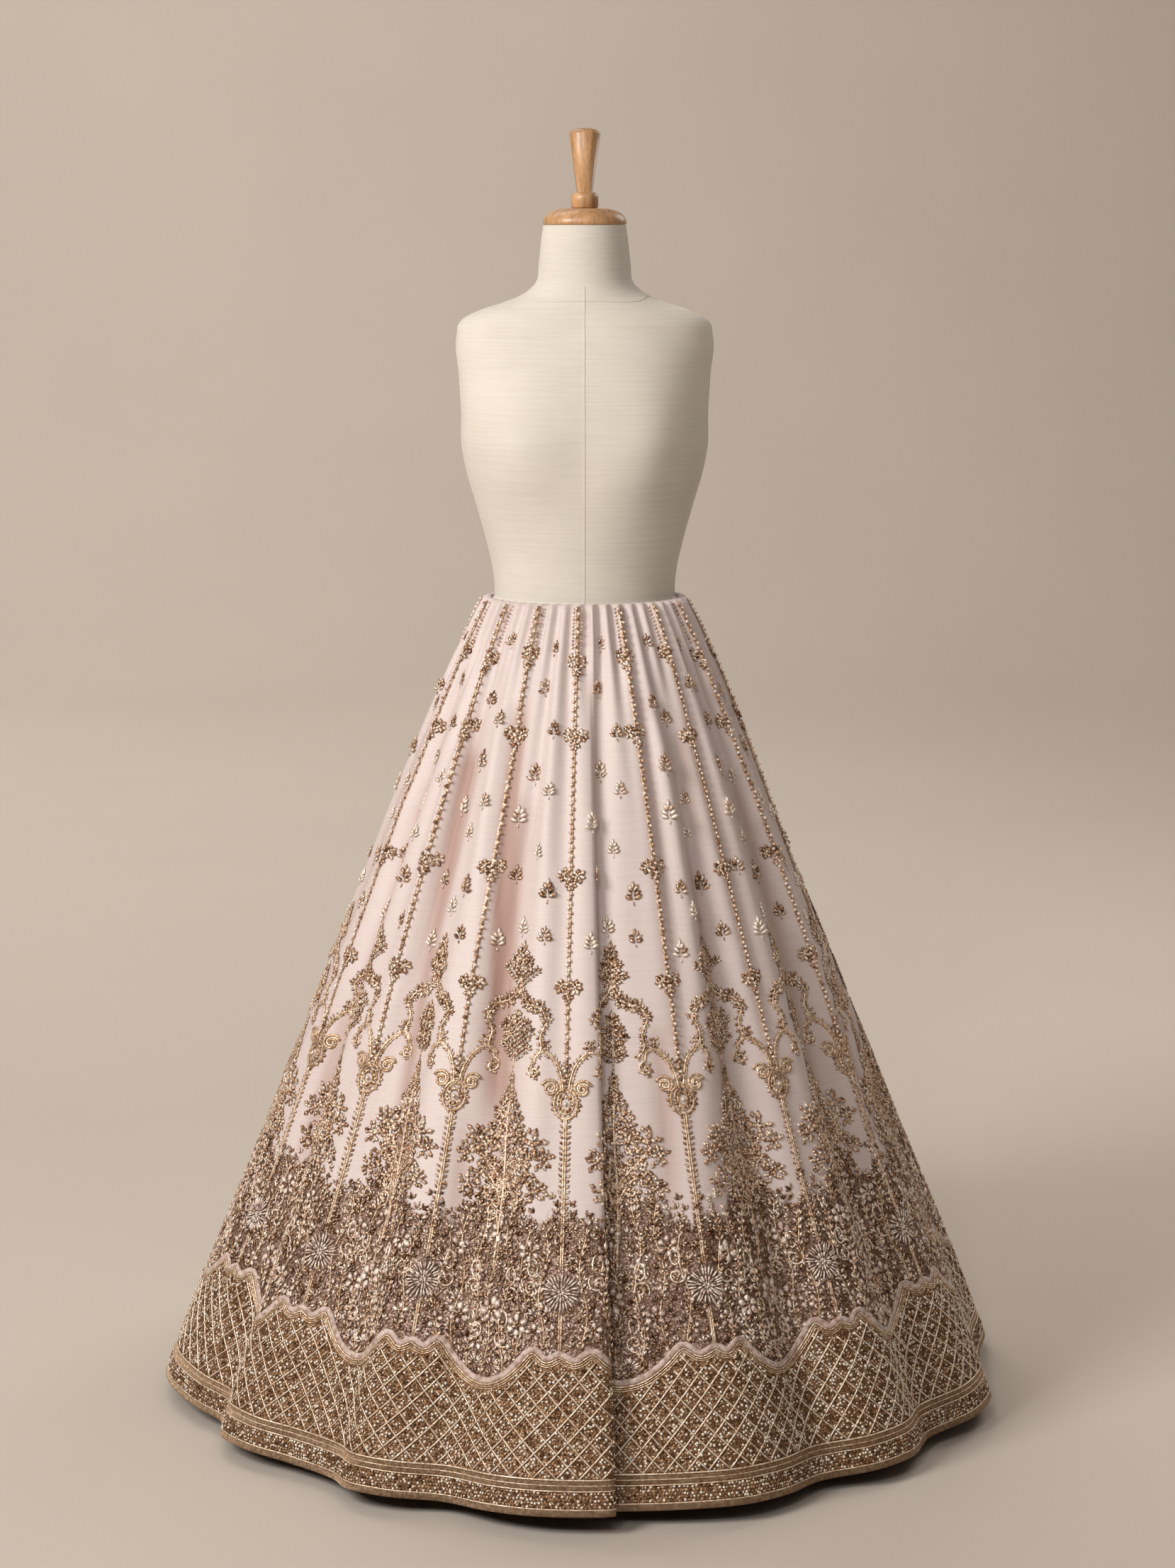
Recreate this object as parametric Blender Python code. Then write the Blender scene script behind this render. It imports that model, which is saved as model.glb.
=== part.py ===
"""A lehenga skirt of sixteen kalis (gores), gathered on a waist casing and worn by a limbless dress form.

Metres, +Z up. The origin is on the floor under the form's pole, and the front of the skirt faces -Y.
Angles run round the body from the front centre, 0 degrees, towards +X. The first seam lies a little
to the other side, at SEAM_START.
"""

import math
from collections import namedtuple

import bmesh
import bpy
import numpy as np

# Cloth and clearances
CLOTH = 0.0016
CASING_CLOTH = 0.0024
BORDER_CLOTH = 0.0012
SEAM_GAP = 0.0003
BORDER_GAP = 0.0005

# Meshes
SMOOTH_ANGLE = math.radians(50)
MERGE_DISTANCE = 0.00005

# Skirt
KALI_COUNT = 16
KALI_DEGREES = 360 / KALI_COUNT
SEAM_START = -3.5
WAIST_HEIGHT = 1.040
HEM_HEIGHT = 0.021
HEM_LIFT = 0.2
GATHERS_PER_KALI = 3
KALI_COLUMNS = 12
NEAREST_COLUMN = 0.3
CASING_DEPTH = 0.031
CASING_DROP = 0.001

# One row for each level of the skirt, from the waist down. fold, ripple and gather say how strongly
# the hem's folds, the soft ripples and the waist's gathers stand at that level.
Level = namedtuple("Level", "height half_width half_depth fold ripple gather")
LEVELS = (
    Level(1.040, 0.1252, 0.0982, 0.00, 0.0000, 0.0044),
    Level(1.012, 0.1395, 0.1140, 0.02, 0.0005, 0.0046),
    Level(0.972, 0.1585, 0.1350, 0.06, 0.0018, 0.0036),
    Level(0.915, 0.1840, 0.1620, 0.15, 0.0034, 0.0020),
    Level(0.820, 0.2235, 0.2060, 0.30, 0.0042, 0.0010),
    Level(0.700, 0.2700, 0.2570, 0.45, 0.0040, 0.0004),
    Level(0.545, 0.3300, 0.3210, 0.60, 0.0032, 0.0000),
    Level(0.370, 0.3950, 0.3900, 0.76, 0.0022, 0.0000),
    Level(0.146, 0.4855, 0.4850, 0.94, 0.0009, 0.0000),
    Level(0.085, 0.5085, 0.5085, 0.97, 0.0005, 0.0000),
    Level(0.021, 0.5330, 0.5330, 1.00, 0.0000, 0.0000),
)

# The hem's outline, one row for each turn of a fold, in the order in which the cloth runs round it.
# out is how far the cloth stands outside the mean hem, in metres. Beside the front centre the
# cloth doubles back on itself, so there the angle runs back for four rows.
HemTurn = namedtuple("HemTurn", "degrees out")
HEM_SAMPLES = 6000
HEM_TURNS = (
    HemTurn(-3.5, 0.0184),
    HemTurn(0.0, 0.0190),
    HemTurn(2.0, 0.0185),
    HemTurn(3.1, 0.0170),
    HemTurn(3.6, 0.0110),
    HemTurn(3.0, 0.0055),
    HemTurn(1.9, 0.0010),
    HemTurn(1.3, -0.0045),
    HemTurn(1.8, -0.0100),
    HemTurn(2.9, -0.0130),
    HemTurn(4.4, -0.0125),
    HemTurn(8.0, -0.0080),
    HemTurn(14.0, 0.0010),
    HemTurn(21.0, 0.0095),
    HemTurn(26.5, -0.0010),
    HemTurn(34.0, -0.0250),
    HemTurn(42.5, 0.0030),
    HemTurn(47.5, 0.0060),
    HemTurn(56.0, -0.0170),
    HemTurn(65.5, 0.0110),
    HemTurn(72.0, 0.0130),
    HemTurn(82.0, -0.0140),
    HemTurn(91.0, -0.0060),
    HemTurn(98.5, 0.0140),
    HemTurn(106.0, 0.0060),
    HemTurn(115.0, -0.0180),
    HemTurn(126.5, 0.0080),
    HemTurn(134.0, 0.0130),
    HemTurn(145.0, -0.0160),
    HemTurn(155.5, -0.0060),
    HemTurn(163.0, 0.0150),
    HemTurn(171.0, 0.0090),
    HemTurn(182.0, -0.0170),
    HemTurn(193.5, 0.0060),
    HemTurn(202.0, 0.0150),
    HemTurn(213.0, -0.0150),
    HemTurn(223.5, -0.0090),
    HemTurn(231.0, 0.0130),
    HemTurn(240.0, 0.0090),
    HemTurn(250.0, -0.0170),
    HemTurn(262.0, -0.0070),
    HemTurn(271.5, 0.0130),
    HemTurn(280.5, 0.0190),
    HemTurn(290.5, 0.0000),
    HemTurn(297.5, -0.0190),
    HemTurn(303.5, 0.0060),
    HemTurn(308.5, 0.0030),
    HemTurn(315.5, -0.0170),
    HemTurn(325.0, -0.0130),
    HemTurn(328.5, 0.0070),
    HemTurn(333.0, 0.0060),
    HemTurn(341.0, -0.0170),
    HemTurn(348.5, 0.0060),
    HemTurn(354.5, 0.0178),
    HemTurn(356.5, 0.0184),
)

# The scalloped top of the hem border, one row for each point across half a kali, from its seam to
# its middle: a small lobe beside the seam and half of the big one. height is measured up the cloth
# from the hem.
Scallop = namedtuple("Scallop", "share height")
BORDER_TOP = (
    Scallop(0.00, 0.187),
    Scallop(0.083, 0.180),
    Scallop(0.167, 0.191),
    Scallop(0.25, 0.174),
    Scallop(0.333, 0.159),
    Scallop(0.417, 0.150),
    Scallop(0.50, 0.147),
)

# Waves that make the folds uneven: how many run round the skirt, how strong, and where they start.
Wave = namedtuple("Wave", "count strength phase")
GATHER_WAVES = (Wave(5, 0.22, 1.0), Wave(11, 0.16, 0.0))
RIPPLE_WAVES = (Wave(29, 0.60, 0.7), Wave(37, 0.50, 2.1))

# Dress form, one row for each level from the neck's top to the hips' underside. bust is how far
# the two sides of the front stand out beyond the plain oval.
FormLevel = namedtuple("FormLevel", "height half_width front back bust")
FORM_LEVELS = (
    FormLevel(1.5070, 0.0520, 0.0520, 0.0520, 0.000),
    FormLevel(1.4860, 0.0550, 0.0540, 0.0560, 0.000),
    FormLevel(1.4580, 0.0580, 0.0560, 0.0600, 0.000),
    FormLevel(1.4350, 0.0620, 0.0590, 0.0660, 0.000),
    FormLevel(1.4260, 0.0700, 0.0615, 0.0710, 0.000),
    FormLevel(1.4180, 0.0830, 0.0640, 0.0760, 0.000),
    FormLevel(1.4090, 0.1070, 0.0670, 0.0820, 0.000),
    FormLevel(1.4010, 0.1330, 0.0700, 0.0870, 0.000),
    FormLevel(1.3900, 0.1540, 0.0740, 0.0920, 0.000),
    FormLevel(1.3700, 0.1610, 0.0810, 0.0980, 0.001),
    FormLevel(1.3200, 0.1585, 0.0930, 0.1040, 0.005),
    FormLevel(1.2700, 0.1560, 0.1010, 0.1040, 0.015),
    FormLevel(1.2350, 0.1560, 0.1030, 0.1020, 0.021),
    FormLevel(1.2000, 0.1500, 0.1010, 0.0980, 0.017),
    FormLevel(1.1600, 0.1385, 0.0970, 0.0930, 0.006),
    FormLevel(1.1150, 0.1260, 0.0925, 0.0895, 0.000),
    FormLevel(1.0750, 0.1170, 0.0890, 0.0870, 0.000),
    FormLevel(1.0385, 0.1150, 0.0880, 0.0880, 0.000),
    FormLevel(1.0085, 0.1215, 0.0935, 0.0935, 0.000),
    FormLevel(0.9600, 0.1330, 0.1010, 0.1060, 0.000),
    FormLevel(0.9000, 0.1470, 0.1070, 0.1190, 0.000),
    FormLevel(0.8500, 0.1530, 0.1080, 0.1240, 0.000),
    FormLevel(0.8150, 0.1490, 0.1040, 0.1190, 0.000),
    FormLevel(0.7950, 0.1310, 0.0880, 0.1020, 0.000),
    FormLevel(0.7880, 0.1090, 0.0700, 0.0820, 0.000),
)
FORM_COLUMNS = 32
BUST_CENTRE = math.radians(36)
BUST_SPREAD = math.radians(24)

# Stand and turned wooden top
TURNED_SIDES = 32
POLE_RADIUS = 0.014
POLE_SOCKET = 0.004
FLANGE_RADIUS = 0.046
FLANGE_THICKNESS = 0.012
BASE_RADIUS = 0.190
BASE_THICKNESS = 0.020
BASE_ROUNDING = 0.012
CAP_RADIUS = 0.0525
CAP_HEIGHT = 0.0205
CAP_LIP = 0.004
CAP_SHOULDER = 0.030
HANDLE_HEIGHT = 0.0985
HANDLE_NARROW = 0.0100
HANDLE_WIDE = 0.0198
HANDLE_DOME = 0.007
COLLAR_RADIUS = 0.0172
COLLAR_HEIGHT = 0.0195
COLLAR_ROUNDING = 0.006
TURNED_CHAMFER = 0.0015

PINK_SILK = ("pink_silk", (0.78, 0.60, 0.57), 0.55, 0.0)
GOLD_WORK = ("gold_work", (0.50, 0.36, 0.22), 0.50, 0.3)
FORM_LINEN = ("form_linen", (0.80, 0.75, 0.66), 0.85, 0.0)
TURNED_WOOD = ("turned_wood", (0.55, 0.33, 0.17), 0.45, 0.0)

SKIRT_DROP = WAIST_HEIGHT - HEM_HEIGHT


def clear_scene():
    for obj in list(bpy.data.objects):
        bpy.data.objects.remove(obj)


def material(spec):
    name, colour, roughness, metallic = spec
    made = bpy.data.materials.get(name) or bpy.data.materials.new(name)
    made.use_nodes = True
    shader = made.node_tree.nodes["Principled BSDF"]
    shader.inputs["Base Color"].default_value = (*colour, 1.0)
    shader.inputs["Roughness"].default_value = roughness
    shader.inputs["Metallic"].default_value = metallic
    made.diffuse_color = (*colour, 1.0)
    return made


def add_object(name, mesh, finish):
    mesh.materials.append(material(finish))
    obj = bpy.data.objects.new(name, mesh)
    bpy.context.scene.collection.objects.link(obj)
    return obj


def smooth_curve(knots, values, at):
    """Values on a smooth curve through the knots, with Catmull-Rom slopes."""
    knots = np.asarray(knots, float)
    values = np.asarray(values, float)
    at = np.clip(at, knots[0], knots[-1])
    slopes = np.gradient(values, knots)
    place = np.clip(np.searchsorted(knots, at, side="right") - 1, 0, len(knots) - 2)
    span = knots[place + 1] - knots[place]
    share = (at - knots[place]) / span
    square, cube = share**2, share**3
    return (
        (2 * cube - 3 * square + 1) * values[place]
        + (cube - 2 * square + share) * span * slopes[place]
        + (3 * square - 2 * cube) * values[place + 1]
        + (cube - square) * span * slopes[place + 1]
    )


def run_lengths(degrees, out):
    """The length of cloth from the front centre to each point of the hem."""
    metres_per_degree = math.radians(LEVELS[-1].half_width)
    steps = np.hypot(np.diff(degrees) * metres_per_degree, np.diff(out))
    return np.concatenate([[0], np.cumsum(steps)])


def hem_outline():
    """The hem, finely sampled as length, degrees and out, with the length at each turn of its table."""
    degrees, out = np.array(HEM_TURNS).T
    knots = run_lengths(degrees, out)
    samples = np.linspace(0, knots[-1], HEM_SAMPLES)
    fine_degrees = smooth_curve(knots, degrees, samples)
    fine_out = smooth_curve(knots, out, samples)
    lengths = run_lengths(fine_degrees, fine_out)
    return lengths, fine_degrees, fine_out, np.interp(knots, samples, lengths)


HEM_LENGTH, HEM_ANGLE, HEM_OUT, TURN_LENGTHS = hem_outline()
SEAM_LENGTHS = np.array(
    [
        HEM_LENGTH[np.argmax(HEM_ANGLE >= SEAM_START + k * KALI_DEGREES)]
        for k in range(KALI_COUNT)
    ]
    + [HEM_LENGTH[-1]]
)


def waves_at(waves, around):
    return sum(wave.strength * np.sin(wave.count * around + wave.phase) for wave in waves)


def skirt_point(cloth, drop):
    """Points on the outer face of the skirt.

    cloth counts kalis round the waist, so 2.5 is the middle of kali 2.
    drop is 0 at the waist and 1 at the hem.
    """
    cloth, drop = np.broadcast_arrays(np.asarray(cloth, float), np.asarray(drop, float))
    turned = np.mod(cloth, KALI_COUNT)
    kali = np.floor(turned).astype(int)
    length = SEAM_LENGTHS[kali] + (turned - kali) * (SEAM_LENGTHS[kali + 1] - SEAM_LENGTHS[kali])
    hem_degrees = np.interp(length, HEM_LENGTH, HEM_ANGLE)
    hem_out = np.interp(length, HEM_LENGTH, HEM_OUT)

    knots = [(WAIST_HEIGHT - level.height) / SKIRT_DROP for level in LEVELS]
    half_width, half_depth, fold, ripple, gather = (
        smooth_curve(knots, [getattr(level, column) for level in LEVELS], drop)
        for column in ("half_width", "half_depth", "fold", "ripple", "gather")
    )
    even_degrees = SEAM_START + turned * KALI_DEGREES
    angle = np.radians(even_degrees + fold * (hem_degrees - even_degrees))
    around = np.radians(even_degrees)
    gathers = np.cos(math.tau * GATHERS_PER_KALI * turned) * (1 + waves_at(GATHER_WAVES, around))
    out = fold * hem_out + ripple * waves_at(RIPPLE_WAVES, around) + gather * gathers

    side, front = np.sin(angle), np.cos(angle)
    normal = np.stack([side / half_width, -front / half_depth], axis=-1)
    normal /= np.linalg.norm(normal, axis=-1, keepdims=True)
    height = WAIST_HEIGHT - drop * (SKIRT_DROP - HEM_LIFT * hem_out)
    return np.stack(
        [
            half_width * side + out * normal[..., 0],
            -half_depth * front + out * normal[..., 1],
            height,
        ],
        axis=-1,
    )


def unit(vectors):
    return vectors / np.linalg.norm(vectors, axis=-1, keepdims=True)


def skirt_frame(cloth, drop):
    """Outer points with the direction along the cloth and the outward direction there."""
    step = 0.004
    lower, upper = np.minimum(drop + step, 1.0), np.maximum(drop - step, 0.0)
    along = unit(skirt_point(cloth + step, drop) - skirt_point(cloth - step, drop))
    down = skirt_point(cloth, lower) - skirt_point(cloth, upper)
    return skirt_point(cloth, drop), along, unit(np.cross(down, along))


def kali_stations(kali):
    """Where the columns of a kali stand across it, from 0 to 1: evenly, and on the deep fold's turns."""
    even = np.linspace(0, 1, KALI_COLUMNS + 1)
    turns = np.array([turn.degrees for turn in HEM_TURNS])
    doubled = np.flatnonzero(np.diff(turns) < 0)
    if kali != int((turns[doubled[0]] - SEAM_START) // KALI_DEGREES):
        return even
    start, end = SEAM_LENGTHS[kali], SEAM_LENGTHS[kali + 1]
    fold = (TURN_LENGTHS[doubled[0] - 1 : doubled[-1] + 3] - start) / (end - start)
    closest = np.abs(even[:, None] - fold[None, :]).min(axis=1)
    kept = even[closest > NEAREST_COLUMN / KALI_COLUMNS]
    return np.unique(np.concatenate([[0.0, 1.0], kept, fold]))


def drops():
    return np.array([(WAIST_HEIGHT - level.height) / SKIRT_DROP for level in LEVELS])


def wall_faces(rows, columns, closed):
    """Triangles of a wall with outer and inner sheets of rows by columns points.

    The outer sheet's points come first. A closed wall runs round and has no side edges.
    """
    faces = []
    inner = rows * columns
    spans = columns if closed else columns - 1

    def quad(a, b, c, d):
        faces.extend([(a, b, c), (a, c, d)])

    for r in range(rows - 1):
        for c in range(spans):
            right = (c + 1) % columns
            here, beside = r * columns + c, r * columns + right
            below, across = here + columns, beside + columns
            quad(here, below, across, beside)
            quad(inner + here, inner + beside, inner + across, inner + below)
    for c in range(spans):
        right = (c + 1) % columns
        quad(c, right, inner + right, inner + c)
        last = (rows - 1) * columns
        quad(last + c, inner + last + c, inner + last + right, last + right)
    if not closed:
        for r in range(rows - 1):
            here, below = r * columns, (r + 1) * columns
            quad(here, inner + here, inner + below, below)
            end = columns - 1
            quad(here + end, below + end, inner + below + end, inner + here + end)
    return faces


def wall_object(name, outer, inner, finish, closed=False):
    """A wall between two sheets of points, each an array of rows by columns by three."""
    rows, columns = outer.shape[:2]
    points = np.concatenate([outer.reshape(-1, 3), inner.reshape(-1, 3)])
    mesh = bpy.data.meshes.new(name)
    mesh.from_pydata(points.tolist(), [], wall_faces(rows, columns, closed))
    shaped = bmesh.new()
    shaped.from_mesh(mesh)
    bmesh.ops.recalc_face_normals(shaped, faces=shaped.faces)
    shaped.to_mesh(mesh)
    shaped.free()
    mesh.shade_smooth()
    mesh.set_sharp_from_angle(angle=SMOOTH_ANGLE)
    return add_object(name, mesh, finish)


def build_kali(kali):
    """One gore of the skirt, 0.15 mm short of its seam line on each side."""
    stations = kali_stations(kali)
    cloth = (kali + stations)[None, :]
    points, along, normal = skirt_frame(cloth, drops()[:, None])
    points[:, 0] += along[:, 0] * SEAM_GAP / 2
    points[:, -1] -= along[:, -1] * SEAM_GAP / 2
    name = f"kali_{kali + 1:02d}"
    return wall_object(name, points, points - normal * CLOTH, PINK_SILK)


def border_height(share):
    """How far up the cloth the border reaches, by the share of the way across a kali."""
    half = np.minimum(share, 1 - share)
    return smooth_curve([row.share for row in BORDER_TOP], [row.height for row in BORDER_TOP], half)


def build_border():
    """The scalloped hem border, a thin wall on the kalis that is made from their points, moved out."""
    cloth = np.concatenate([k + kali_stations(k)[:-1] for k in range(KALI_COUNT)])
    share = cloth - np.floor(cloth)
    slope = math.hypot(SKIRT_DROP, LEVELS[-1].half_width - LEVELS[0].half_width)
    top = 1 - border_height(share) / slope
    levels = drops()
    below = [drop for drop in levels if drop > top.max()]
    above = levels[levels < top.min()][-1]

    def sheet(drop_row):
        points, _, normal = skirt_frame(cloth, np.full(len(cloth), drop_row))
        return points, normal

    upper, lower = sheet(above), sheet(below[0])
    reach = ((top - above) / (below[0] - above))[:, None]
    points = [upper[0] + (lower[0] - upper[0]) * reach]
    normals = [unit(upper[1] + (lower[1] - upper[1]) * reach)]
    for drop in below:
        row, normal = sheet(drop)
        points.append(row)
        normals.append(normal)
    points, normals = np.array(points), np.array(normals)
    inner = points + normals * BORDER_GAP
    return wall_object(
        "hem_border", inner + normals * BORDER_CLOTH, inner, GOLD_WORK, closed=True
    )


def form_ring(level, out=0.0):
    """A level of the dress form as points, moved out by a distance."""
    angle = np.arange(FORM_COLUMNS) * math.tau / FORM_COLUMNS
    from_front = np.minimum(angle, math.tau - angle)
    mound = np.exp(-(((from_front - BUST_CENTRE) / BUST_SPREAD) ** 2))
    depth = np.where(np.cos(angle) > 0, level.front, level.back)
    side, front = np.sin(angle), np.cos(angle)
    normal = unit(np.stack([side / level.half_width, -front / depth], axis=-1))
    flat = np.stack([level.half_width * side, -(depth + level.bust * mound) * front], axis=-1)
    flat += out * normal
    return np.column_stack([flat, np.full(FORM_COLUMNS, level.height)])


def build_form():
    """The padded, linen-covered form: a whole closed body with a flat neck top and underside."""
    shaped = bmesh.new()
    rings = [[shaped.verts.new(p) for p in form_ring(level)] for level in FORM_LEVELS]
    for upper, lower in zip(rings, rings[1:]):
        for c in range(FORM_COLUMNS):
            right = (c + 1) % FORM_COLUMNS
            shaped.faces.new((upper[c], lower[c], lower[right], upper[right]))
    shaped.faces.new(rings[0])
    shaped.faces.new(list(reversed(rings[-1])))
    bmesh.ops.recalc_face_normals(shaped, faces=shaped.faces)
    mesh = bpy.data.meshes.new("dress_form")
    shaped.to_mesh(mesh)
    shaped.free()
    mesh.shade_smooth()
    mesh.set_sharp_from_angle(angle=SMOOTH_ANGLE)
    return add_object("dress_form", mesh, FORM_LINEN)


def build_casing():
    """The waist casing that the kalis are gathered on, 0.3 mm clear of the form all round."""
    top = WAIST_HEIGHT - CASING_DROP
    levels = [level for level in FORM_LEVELS if top - CASING_DEPTH <= level.height <= top]
    inner = np.array([form_ring(level, SEAM_GAP) for level in levels])
    outer = np.array([form_ring(level, SEAM_GAP + CASING_CLOTH) for level in levels])
    return wall_object("waist_casing", outer, inner, PINK_SILK, closed=True)


def turned(name, profile, finish):
    """A turned piece from its profile of (radius, height) points, top to bottom."""
    mesh = bpy.data.meshes.new(name)
    points = [(radius, 0.0, height) for radius, height in profile]
    mesh.from_pydata(points, [(i, i + 1) for i in range(len(points) - 1)], [])
    obj = add_object(name, mesh, finish)
    screw = obj.modifiers.new("Turn", "SCREW")
    screw.steps = screw.render_steps = TURNED_SIDES
    screw.use_merge_vertices = True
    screw.merge_threshold = MERGE_DISTANCE
    screw.use_smooth_shade = True
    return obj


def quarter_round(radius, height, across, down, steps=5):
    """Points of a rounded shoulder that ends at (radius, height - down)."""
    angles = [i * math.pi / 2 / steps for i in range(steps + 1)]
    return [
        (radius - across + across * math.sin(a), height - down + down * math.cos(a)) for a in angles
    ]


def chamfered_foot(radius, bottom):
    return [(radius, bottom + TURNED_CHAMFER), (radius - TURNED_CHAMFER, bottom), (0.0, bottom)]


def build_neck_cap(bottom):
    top = bottom + CAP_HEIGHT
    profile = [(0.0, top)]
    profile += quarter_round(CAP_RADIUS, top, CAP_SHOULDER, CAP_HEIGHT - CAP_LIP, steps=7)
    profile += chamfered_foot(CAP_RADIUS, bottom)
    return turned("neck_cap", profile, TURNED_WOOD)


def build_handle(bottom):
    """The turned handle: a round collar below a stem that widens to a domed top."""
    top = bottom + HANDLE_HEIGHT
    shoulder = top - HANDLE_DOME
    collar_top = bottom + COLLAR_HEIGHT
    profile = quarter_round(HANDLE_WIDE, top, HANDLE_WIDE, HANDLE_DOME, steps=6)
    for share in (0.2, 0.45, 0.7, 0.9, 1.0):
        radius = HANDLE_WIDE + (HANDLE_NARROW - HANDLE_WIDE) * share
        profile.append((radius, shoulder + (collar_top - shoulder) * share))
    profile += quarter_round(COLLAR_RADIUS, collar_top, COLLAR_ROUNDING, COLLAR_ROUNDING, steps=3)
    profile += chamfered_foot(COLLAR_RADIUS, bottom)
    return turned("cap_handle", profile, TURNED_WOOD)


def build_pole(bottom, top):
    """The pole, with a flange under the form and one on the base."""
    upper = [
        (0.0, top),
        (FLANGE_RADIUS, top),
        (FLANGE_RADIUS, top - FLANGE_THICKNESS),
        (POLE_RADIUS + POLE_SOCKET, top - 2 * FLANGE_THICKNESS),
        (POLE_RADIUS, top - 3 * FLANGE_THICKNESS),
    ]
    profile = upper + [(radius, top + bottom - height) for radius, height in reversed(upper)]
    return turned("stand_pole", profile, TURNED_WOOD)


def build_base():
    profile = [(0.0, BASE_THICKNESS)]
    profile += quarter_round(BASE_RADIUS, BASE_THICKNESS, BASE_ROUNDING, BASE_ROUNDING, steps=4)
    profile += chamfered_foot(BASE_RADIUS, 0.0)
    return turned("stand_base", profile, TURNED_WOOD)


def main():
    clear_scene()
    for kali in range(KALI_COUNT):
        build_kali(kali)
    build_border()
    build_casing()
    build_form()
    cap_bottom = FORM_LEVELS[0].height + SEAM_GAP
    build_neck_cap(cap_bottom)
    build_handle(cap_bottom + CAP_HEIGHT + SEAM_GAP)
    build_pole(BASE_THICKNESS + SEAM_GAP, FORM_LEVELS[-1].height - SEAM_GAP)
    build_base()


if __name__ == "__main__":
    main()
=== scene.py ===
"""The looks of a lehenga skirt on its dress form: gathered raw silk, gold embroidery, linen and turned wood.

Metres, +Z up, the front facing -Y. A place on the skirt is given as cloth, which counts kalis (gores)
round the waist from the seam beside the front centre, and height, measured up the cloth from the hem.
"""

import math
from collections import namedtuple

import bpy
import numpy as np
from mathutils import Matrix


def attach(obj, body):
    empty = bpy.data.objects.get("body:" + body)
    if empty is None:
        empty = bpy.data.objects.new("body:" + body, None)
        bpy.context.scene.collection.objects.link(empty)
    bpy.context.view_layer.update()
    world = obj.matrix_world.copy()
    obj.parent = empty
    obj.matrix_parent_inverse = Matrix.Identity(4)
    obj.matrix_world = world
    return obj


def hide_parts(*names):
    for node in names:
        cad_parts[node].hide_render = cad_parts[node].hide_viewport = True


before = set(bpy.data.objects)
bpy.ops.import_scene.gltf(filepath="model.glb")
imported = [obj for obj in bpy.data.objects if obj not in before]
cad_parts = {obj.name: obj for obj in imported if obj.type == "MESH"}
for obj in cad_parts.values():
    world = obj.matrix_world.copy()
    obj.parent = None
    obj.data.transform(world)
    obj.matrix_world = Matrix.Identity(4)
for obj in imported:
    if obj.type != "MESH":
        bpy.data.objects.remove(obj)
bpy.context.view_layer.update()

bl_info = {
    "name": "Lehenga Skirt Dresser",
    "version": (1, 0, 0),
    "blender": (4, 5, 0),
    "location": "3D View > Sidebar > Lehenga",
    "description": "Dresses a lehenga skirt and its form in silk, gold embroidery, linen and wood",
    "category": "Object",
}

# Photograph
PHOTO_HEIGHT = 2212
SENSOR = 36.0
FOCAL_PIXELS = 4426.0
CAMERA_PLACE = (0.0036, -4.0, 1.5)
CAMERA_PITCH = math.radians(10.0)

# Cloth
CLOTH = 0.0012
BORDER_CLOTH = 0.0010
BORDER_FACE = 0.0017

# Skirt
KALI_COUNT = 16
KALIS = [f"kali_{k + 1:02d}" for k in range(KALI_COUNT)]
KALI_DEGREES = 360 / KALI_COUNT
SEAM_START = -3.5
WAIST_HEIGHT = 1.040
HEM_HEIGHT = 0.021
HEM_LIFT = 0.2
SKIRT_DROP = WAIST_HEIGHT - HEM_HEIGHT
GATHERS_PER_KALI = 3

# One row for each level of the skirt, from the waist down.
Level = namedtuple("Level", "height half_width half_depth fold ripple gather")
LEVELS = (
    Level(1.040, 0.1252, 0.0982, 0.00, 0.0000, 0.0044),
    Level(1.012, 0.1395, 0.1140, 0.02, 0.0005, 0.0046),
    Level(0.972, 0.1585, 0.1350, 0.06, 0.0018, 0.0036),
    Level(0.915, 0.1840, 0.1620, 0.15, 0.0034, 0.0020),
    Level(0.820, 0.2235, 0.2060, 0.30, 0.0042, 0.0010),
    Level(0.700, 0.2700, 0.2570, 0.45, 0.0040, 0.0004),
    Level(0.545, 0.3300, 0.3210, 0.60, 0.0032, 0.0000),
    Level(0.370, 0.3950, 0.3900, 0.76, 0.0022, 0.0000),
    Level(0.146, 0.4855, 0.4850, 0.94, 0.0009, 0.0000),
    Level(0.085, 0.5085, 0.5085, 0.97, 0.0005, 0.0000),
    Level(0.021, 0.5330, 0.5330, 1.00, 0.0000, 0.0000),
)

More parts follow.
